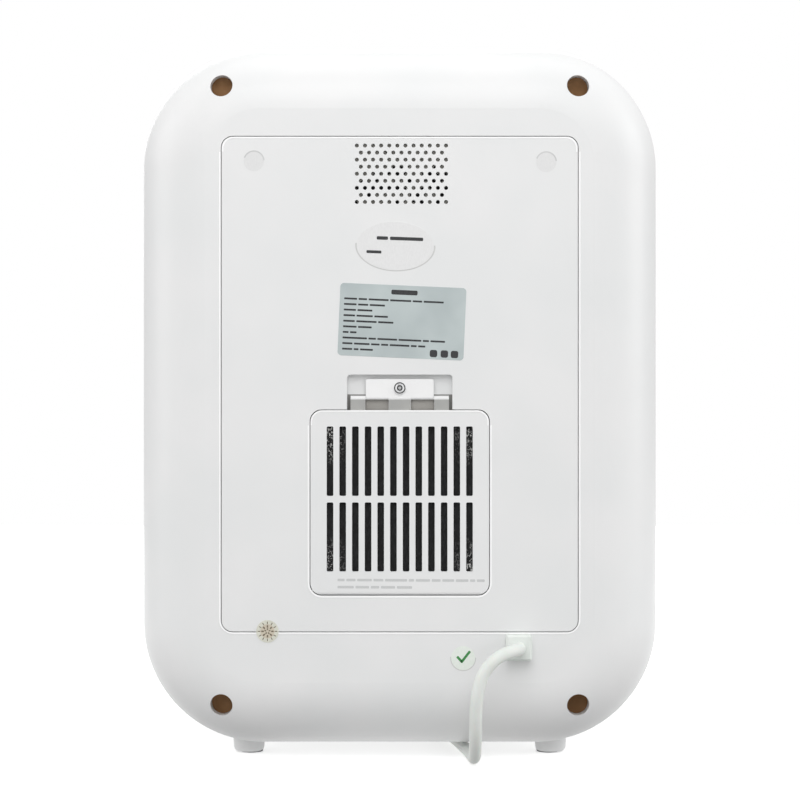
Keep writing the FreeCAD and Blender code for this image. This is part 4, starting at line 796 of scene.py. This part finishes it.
class STERILIZER_OT_labels(Operator):
    """Rating plate, oval sticker, paper seal and round sticker, with plain marks in place of print."""
    bl_idname = "sterilizer.labels"
    bl_label = "Labels on the back"

    def execute(self, context):
        settings = context.scene.sterilizer_labels
        black = printing_ink("black printing ink", "17181A", "2A2B2D")
        self.rating_plate(settings, black)
        self.oval_sticker(settings, black)
        self.paper_seal(settings)
        self.round_sticker(settings)
        self.cover_marks()
        self.sticker_shadow_rims(settings)
        return {"FINISHED"}

    def rating_plate(self, settings, black):
        """Silver plate with rows of bars, one bar as a heading and three squares."""
        thick = settings.thickness
        plate = soft_edge(label_blank(*settings.plate_size, thick, 2.2 * MM))
        words = [(7.6, 5.0, 11.8, 12.4, 5.6, 11.8), (7.4, 6.0, 9.0), (7.2, 8.8), (6.8, 9.6, 8.0),
                 (6.8, 12.0, 9.0), (8.0, 8.0), (3.4, 3.8), (14.4, 4.4, 11.6, 13.4, 3.6, 8.6),
                 (6.0, 9.2, 5.0, 4.2, 11.6, 3.4, 4.2), (6.0, 2.8, 7.6)]
        rows = [(12.3 - 3.3 * row, lengths) for row, lengths in enumerate(words)]
        text = printed_rows(rows, -34.6, 1.1, thick, 0.9)
        heading = bar(-7.0 * MM, 8.5 * MM, 17.2 * MM, 2.8 * MM, thick)
        squares = repeated(bar(-2.2 * MM, 2.2 * MM, -18.0 * MM, 4.3 * MM, thick),
                           [shift(x * MM, 0) for x in (19.4, 25.8, 31.8)])
        place = on_back(*PLATE_PLACE, PLATE_TILT_DEG)
        finish_piece(moved(plate, place), "rating_plate", silver_foil())
        finish_piece(moved(join([text, heading, squares]), place), "rating_marks", black)

    def oval_sticker(self, settings, black):
        """White oval sticker with two rows of bars."""
        thick = settings.thickness
        sticker = soft_edge(label_blank(*settings.oval_size, thick, None))
        marks = join([printed_rows([(4.4, (6.6, 19.6))], -12.4, 2.0, thick, 1.2),
                      printed_rows([(-3.9, (8.8,))], -18.2, 1.7, thick)])
        paper = label_paper("white polypropylene label", "E2E2E2", "E6E6E6", 0.42)
        finish_piece(moved(sticker, on_back(*OVAL_PLACE, STICKER_TILT_DEG)), "oval_sticker", paper)
        finish_piece(moved(marks, on_back(*OVAL_MARKS_PLACE, STICKER_TILT_DEG)), "oval_marks", black)

    def paper_seal(self, settings):
        """Round seal over the panel's seam: a pale wash and three rings of plain ticks."""
        thick = settings.thickness
        seal = label_blank(settings.seal_diameter, settings.seal_diameter, thick, None)
        ticks = []
        for count, away, width, height, corner in ((12, 5.0, 0.5, 1.5, 0.1), (8, 2.9, 0.9, 1.5, 0.2),
                                                   (5, 1.3, 0.8, 1.1, 0.2)):
            tick = label_blank(width * MM, height * MM, INK_THICKNESS, corner * MM)
            ticks.append(repeated(tick, [turned(360 * step / count) @ shift(0, away * MM, thick)
                                         for step in range(count)]))
        wash = label_blank(8.4 * MM, 8.4 * MM, thick + 0.01 * MM, None)
        place = on_back(*SEAL_PLACE, y=BACK_Y + SEAL_LIFT)
        for piece, name, material in (
                (seal, "paper_seal", label_paper("thin seal paper", "D3D3C6", "DEDDD1", 0.75)),
                (wash, "seal_wash", printing_ink("beige printing ink", "C6BBA8", "D2C9B8")),
                (join(ticks), "seal_ticks", printing_ink("brown printing ink", "5A5040", "7A6E5B"))):
            finish_piece(moved(piece, place), name, material)

    def round_sticker(self, settings):
        """Round sticker with a green tick."""
        thick = settings.thickness
        dot = label_blank(settings.dot_diameter, settings.dot_diameter, thick, None)
        strokes = [moved(label_blank(1.5 * MM, height * MM, INK_THICKNESS, 0.4 * MM),
                         shift(x * MM, y * MM, thick) @ turned(angle))
                   for height, x, y, angle in ((4.2, -2.2, -0.6, 42), (8.6, 1.4, 0.7, -38))]
        paper = label_paper("clear-coated round label", "E4EBE3", "EAEEE9", 0.4)
        green = printing_ink("green printing ink", "2F7A3B", "45904F")
        place = on_back(*DOT_PLACE)
        finish_piece(moved(dot, place), "round_sticker", paper)
        finish_piece(moved(join(strokes), place), "round_tick", green)

    def cover_marks(self):
        """Two pale rows of bars along the lower edge of the filter cover."""
        rows = [(2.0, (4.2, 5.4, 8.6, 5.8, 13.0, 3.2, 8.4, 5.2, 7.0, 7.4, 3.0, 4.6)),
                (-2.2, (9.6, 8.0, 5.0, 8.4, 9.0))]
        marks = printed_rows(rows, -36.7, 1.5, 0.0, 1.0)
        moved(marks, on_back(*COVER_MARKS_PLACE, MARKS_TILT_DEG, COVER_HIGH.y))
        grey = printing_ink("pale grey printing ink", "C3C4C4", "CDCECE")
        finish_piece(marks, "cover_marks", grey, "filter_door")

    def sticker_shadow_rims(self, settings):
        """Painted shadow along the lower edges of the oval and the round sticker."""
        dot_size = (settings.dot_diameter, settings.dot_diameter)
        rims = []
        for (width, height), place in ((settings.oval_size, OVAL_PLACE), (dot_size, DOT_PLACE)):
            # Grey arc along each sticker's lower edge: painted shadow
            rim = flat_ring(1.0, RIM_WIDTH / height * 2, 0.06 * MM, 176, 364)
            stretch = Matrix.Diagonal((width / 2, height / 2, 1, 1))
            rims.append(moved(rim, on_back(*place, STICKER_TILT_DEG) @ stretch))
        finish_piece(join(rims), "sticker_shadow_rims", matte_polymer("painted shadow under sticker edge", "CBCBCA", "D2D2D1"))


class STERILIZER_OT_finishes(Operator):
    """Every carried-over CAD node gets the material of the real part."""
    bl_idname = "sterilizer.finishes"
    bl_label = "Finishes of the built parts"

    def execute(self, context):
        groups = {
            moulded_abs(): (
                "main_housing", "rear_shell", "rear_cover", "front_frame", "door_outer", "base_front",
                "base_plate", "filter_cover", "screw_caps", "door_liner"),
            matte_polymer("brown cork-filled rubber", "7C5833", "966F49", (0.7, 0.85), 0.8): ("well_plugs",),
            nitrile_rubber(): ("foot_pads",),
            zinc_steel(): (
                "shell_screws", "small_screws", "fan_screws", "handle_screws", "hinge_pins",
                "strike_plates", "door_magnets"),
            zinc_steel("bright zinc-plated steel", "A9AAAB", "D2D3D4"): ("filter_screw",),
            matte_polymer("black glass-filled nylon", "0A0A0B", "161617"): (
                "filter_frame", "fan_frame", "fan_rotor", "display_module", "exhaust_louvre", "reed_switch",
                "tact_switches", "board_parts"),
            carbon_fleece(): ("filter_element",),
            enamelled_copper(): ("fan_motor",),
            matte_polymer("grey polypropylene", "B4B6B8", "C4C6C8"): (
                "air_duct", "exhaust_duct", "uv_housing"),
            brushed_stainless("plain aluminium fins", "A9AAAB", "C6C7C8", "Z"): ("ptc_heater", "thermostat"),
            brushed_stainless(): (
                "chamber", "upper_rack", "lower_rack", "rack_rails", "transformer", "hinge_brackets"),
            quartz(): ("quartz_window",),
            circuit_board(): ("uv_led_board", "power_board", "control_board"),
            matte_polymer("natural polypropylene tray", "D3D7D9", "DEE1E3", (0.35, 0.45)): ("drip_tray",),
            smoked_glass(): ("door_window",),
            piano_black(): ("control_glass",),
            piano_black("hard-coated black keys", "101114"): (
                "power_button", "mode_button", "time_button", "dry_button"),
            silicone(): ("door_gasket",),
            brushed_stainless("satin stainless handle", "B8B9B9", "D6D6D4", "Z"): ("door_handle",),
            matte_polymer("cord-end PVC", "DCE2DD", "E6EAE6", (0.38, 0.5)): ("strain_relief", "plug_body"),
            plated_brass(): ("plug_pins",),
        }
        left = set(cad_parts) - {"cord_lead", "cord_coil", "cord_tail"}
        for material, nodes in groups.items():
            for name in nodes:
                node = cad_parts[name]
                node.data.materials.clear()
                node.data.materials.append(material)
                left.remove(name)
        if left:
            raise RuntimeError("no finish for " + ", ".join(sorted(left)))
        return {"FINISHED"}


def both_sides(inner, outer, low, high):
    """A span right and left of the middle, each as its two x and two z values."""
    return [(-outer, -inner, low, high), (inner, outer, low, high)]


class STERILIZER_OT_latch(Operator):
    """Thin faces over the filter cover's latch: painted highlight on the tab and strips, painted shade on
    the spring strip's legs, the floor between them and the slits, and on its screw's head.
    """
    bl_idname = "sterilizer.latch"
    bl_label = "Latch faces"

    def execute(self, context):
        legs = both_sides(LEG_INNER, LEG_OUTER, COVER_TOP, LEG_TOP)
        legs.append((-MIDDLE_LEG, MIDDLE_LEG, COVER_TOP, LEG_TOP))
        # Legs in grey: painted shade on the spring strip
        spring = matte_polymer("painted shade on spring strip legs", "A4A4A2", "ABABA8")
        finish_piece(self.faces(legs, LEG_Y), "latch_legs_painted_shade", spring, "filter_door")
        floor = both_sides(MIDDLE_LEG + 0.2 * MM, LEG_INNER - 0.2 * MM, COVER_TOP, LEG_TOP + 0.2 * MM)
        # Floor between the legs in darker grey: painted shade
        shaded = matte_polymer("painted shade on latch floor", "9E9B96", "A6A39E")
        finish_piece(self.faces(floor, FLOOR_Y), "latch_floor_painted_shade", shaded)
        slits = (both_sides(LEG_OUTER + 0.1 * MM, SLIT_OUTER, COVER_TOP, SLIT_TOP)
                 + both_sides(LEG_INNER - 0.4 * MM, SLIT_OUTER, SLIT_TOP, SLIT_TOP + 0.7 * MM))
        # Slits and the line over the strips in dark grey: painted shadow
        dark = matte_polymer("painted shadow in latch slits", "7C7B78", "868582")
        finish_piece(self.faces(slits, FLOOR_Y), "latch_slit_painted_shadows", dark)
        tab = moved(label_blank(*TAB_SIZE, FACE_THICKNESS, 1.1 * MM), on_back(*TAB_PLACE, y=TAB_Y))
        strips = both_sides(LEG_INNER - 0.3 * MM, LEG_OUTER - 0.1 * MM, LEG_TOP + 0.3 * MM,
                            SLIT_TOP - 0.2 * MM)
        # Tab and strips in a whiter copy of the white ABS: painted highlight
        white = moulded_abs("painted highlight white ABS latch", "F1F1F1", "F5F5F5")
        finish_piece(join([tab, self.faces(strips, STRIP_Y)]), "latch_painted_highlights", white, "filter_door")
        self.screw_head_shade()
        return {"FINISHED"}

    def faces(self, spans, depth):
        """Thin faces on the back, each from its two x and two z values."""
        parts = []
        for x0, x1, z0, z1 in spans:
            part = label_blank(x1 - x0, z1 - z0, FACE_THICKNESS, 0.1 * MM)
            parts.append(moved(part, on_back((x0 + x1) / 2, (z0 + z1) / 2, y=depth)))
        return join(parts)

    def screw_head_shade(self):
        """Painted shade in the rim and socket of the latch screw's head: two flat black rings on it."""
        low, high = corners("filter_screw")
        shade_rings = join([flat_ring(radius * MM, width * MM, 0.08 * MM)
                        for radius, width in ((2.75, 0.6), (0.95, 0.75))])
        moved(shade_rings, on_back(0.0, (low.z + high.z) / 2, y=high.y))
        black = matte_polymer("painted shade on screw head", "0C0C0D", "1B1B1C")
        finish_piece(shade_rings, "screw_head_painted_shade", black, "filter_door")


class STERILIZER_OT_caps(Operator):
    """Vinyl films over the screw caps, and a painted shadow along their upper edges."""
    bl_idname = "sterilizer.caps"
    bl_label = "Cap films"

    def execute(self, context):
        places = [on_back(*place) for place in CAP_PLACES]
        film = label_blank(CAP_FILM_DIAMETER, CAP_FILM_DIAMETER, 0.08 * MM, None)
        vinyl = label_paper("white vinyl cap film", "DFDFDF", "E3E3E3", 0.5)
        finish_piece(repeated(film, places), "cap_films", vinyl)
        # Grey arc along the upper edge of each film: painted shadow
        edge = flat_ring(CAP_FILM_DIAMETER / 2 - 0.5 * MM, 0.8 * MM, 0.18 * MM, 5, 160)
        dark_marks = matte_polymer("painted shadow on cap edge", "C6C6C6", "CFCFCF")
        finish_piece(repeated(edge, places), "cap_edge_painted_shadows", dark_marks)
        return {"FINISHED"}


class STERILIZER_OT_felt(Operator):
    """Grey felt with black patches behind the vent."""
    bl_idname = "sterilizer.felt"
    bl_label = "Vent felt"

    def execute(self, context):
        felt = moved(label_blank(*FELT_SIZE, 1.0 * MM), on_back(*FELT_PLACE, y=FELT_Y))
        finish_piece(felt, "vent_felt", patched_felt())
        return {"FINISHED"}


class STERILIZER_OT_feet(Operator):
    """Turned skirts that widen each foot above its rubber pad."""
    bl_idname = "sterilizer.feet"
    bl_label = "Foot skirts"

    def execute(self, context):
        deselect()
        bpy.ops.mesh.primitive_circle_add(vertices=64, radius=SKIRT_RADIUS)
        skirt = context.object
        bpy.ops.object.mode_set(mode="EDIT")
        for rise, spread in SKIRT_STEPS:
            bpy.ops.mesh.extrude_edges_move(TRANSFORM_OT_translate={"value": (0, 0, rise)})
            bpy.ops.transform.resize(value=(spread, spread, 1))
        close_edit()
        apply_modifier(skirt, "SOLIDIFY", thickness=0.9 * MM, offset=-1.0)
        bpy.ops.object.shade_smooth_by_angle(angle=math.radians(30))
        places = [shift(x, y, SKIRT_BOTTOM) for x in FOOT_XS for y in FOOT_YS]
        finish_piece(repeated(skirt, places), "foot_skirts", moulded_abs("white ABS foot skirt"))
        return {"FINISHED"}


class STERILIZER_OT_seams(Operator):
    """Fine raised beads beside the seams of the panel and the filter cover, which catch the light, coloured
    whiter than the cabinet as a painted highlight.
    """
    bl_idname = "sterilizer.seams"
    bl_label = "Seam beads"

    def execute(self, context):
        # Whiter than the cabinet's white ABS: painted highlight
        white = moulded_abs("painted highlight ABS bead", "FCFCFC", "FFFFFF", (0.2, 0.3))
        panel = (PANEL_HIGH.x, PANEL_LOW.z, PANEL_HIGH.z)
        cover = (COVER_HALF_W, COVER_LOW.z, COVER_TOP)
        fixed = [self.bead(*panel, BEAD_OUT), self.bead(*cover, BEAD_OUT), self.bead(*panel, -BEAD_IN)]
        finish_piece(join(fixed), "seam_beads", white)
        finish_piece(self.bead(*cover, -BEAD_IN), "cover_bead", white, "filter_door")
        return {"FINISHED"}

    def bead(self, half_w, low, high, away):
        """Bead away from one seam: outside it along the sides and below, or inside it along the top."""
        middle = (low + high) / 2
        turn = high - SEAM_CORNER - 2 * MM - middle
        bead = rounded_band(2 * (half_w + away), high - low + 2 * away, SEAM_CORNER + away, 12, BEAD_HEIGHT,
                            turn, lower=away > 0)
        apply_modifier(bead, "SOLIDIFY", thickness=BEAD_WIDTH, offset=0.0)
        return moved(soft_edge(bead, 0.1 * MM), on_back(0.0, middle))


class STERILIZER_OT_keys(Operator):
    """Signs on the keys of the control panel."""
    bl_idname = "sterilizer.keys"
    bl_label = "Signs on the keys"

    def execute(self, context):
        ink = printing_ink("white key print", "DADCDD", "EEEFEF")
        signs = {"power": self.power_sign, "mode": self.ring_sign, "time": self.clock_sign,
                 "dry": self.wave_sign}
        for key, make in signs.items():
            low, high = corners(key + "_button")
            sign = moved(make(), on_front((low.x + high.x) / 2, (low.z + high.z) / 2, low.y))
            finish_piece(sign, key + "_button_sign", ink, key + "_key")
        return {"FINISHED"}

    def ring(self, radius, width, start_deg=0, end_deg=360):
        """Printed ring or arc, sizes in mm."""
        return flat_ring(radius * MM, width * MM, 0.05 * MM, start_deg, end_deg)

    def stroke(self, x, y, width, height, turn_deg=0):
        """Printed stroke with round corners, sizes in mm."""
        piece = label_blank(width * MM, height * MM, 0.04 * MM, min(width, height) * 0.3 * MM)
        return moved(piece, shift(x * MM, y * MM) @ turned(turn_deg))

    def power_sign(self):
        """Broken ring with a stroke in its gap."""
        return join([self.ring(2.5, 0.5, 120, 420), self.stroke(0, 2.4, 0.55, 2.6)])

    def ring_sign(self):
        """Ring within a ring."""
        return join([self.ring(2.5, 0.5), self.ring(0.9, 0.5)])

    def clock_sign(self):
        """Clock face with two hands."""
        return join([self.ring(2.6, 0.45), self.stroke(0, 0.8, 0.45, 1.9), self.stroke(0.6, 0, 1.5, 0.45)])

    def wave_sign(self):
        """Three slanted strokes for warm air."""
        return repeated(self.stroke(0, 0, 0.5, 5.0, -18), [shift(x * MM, 0) for x in (-1.8, 0.0, 1.8)])


class STERILIZER_PT_panel(Panel):
    """Lists the pieces in the sidebar."""
    bl_label = "Bottle sterilizer"
    bl_idname = "STERILIZER_PT_panel"
    bl_space_type = "VIEW_3D"
    bl_region_type = "UI"
    bl_category = "Sterilizer"

    def draw(self, context):
        for operator in OPERATORS:
            self.layout.operator(operator.bl_idname)
        for group in SETTINGS:
            settings = getattr(context.scene, group)
            for name in settings.__annotations__:
                self.layout.prop(settings, name)


SETTINGS = {"sterilizer_stage": StageSettings, "sterilizer_cord": CordSettings,
            "sterilizer_labels": LabelSettings}
OPERATORS = (STERILIZER_OT_stage, STERILIZER_OT_cord, STERILIZER_OT_finishes, STERILIZER_OT_labels,
             STERILIZER_OT_latch, STERILIZER_OT_caps, STERILIZER_OT_felt, STERILIZER_OT_feet,
             STERILIZER_OT_seams, STERILIZER_OT_keys)


def register():
    """Settings, operators and panel, made known to Blender."""
    for name, group in SETTINGS.items():
        bpy.utils.register_class(group)
        setattr(bpy.types.Scene, name, PointerProperty(type=group))
    for operator in OPERATORS:
        bpy.utils.register_class(operator)
    bpy.utils.register_class(STERILIZER_PT_panel)


def unregister():
    """All of them taken away again."""
    bpy.utils.unregister_class(STERILIZER_PT_panel)
    for operator in reversed(OPERATORS):
        bpy.utils.unregister_class(operator)
    for name, group in SETTINGS.items():
        delattr(bpy.types.Scene, name)
        bpy.utils.unregister_class(group)


def main():
    """Builds the whole scene, one operator after the other."""
    register()
    for operator in OPERATORS:
        getattr(bpy.ops.sterilizer, operator.bl_idname.split(".")[1])()


if __name__ == "__main__":
    main()
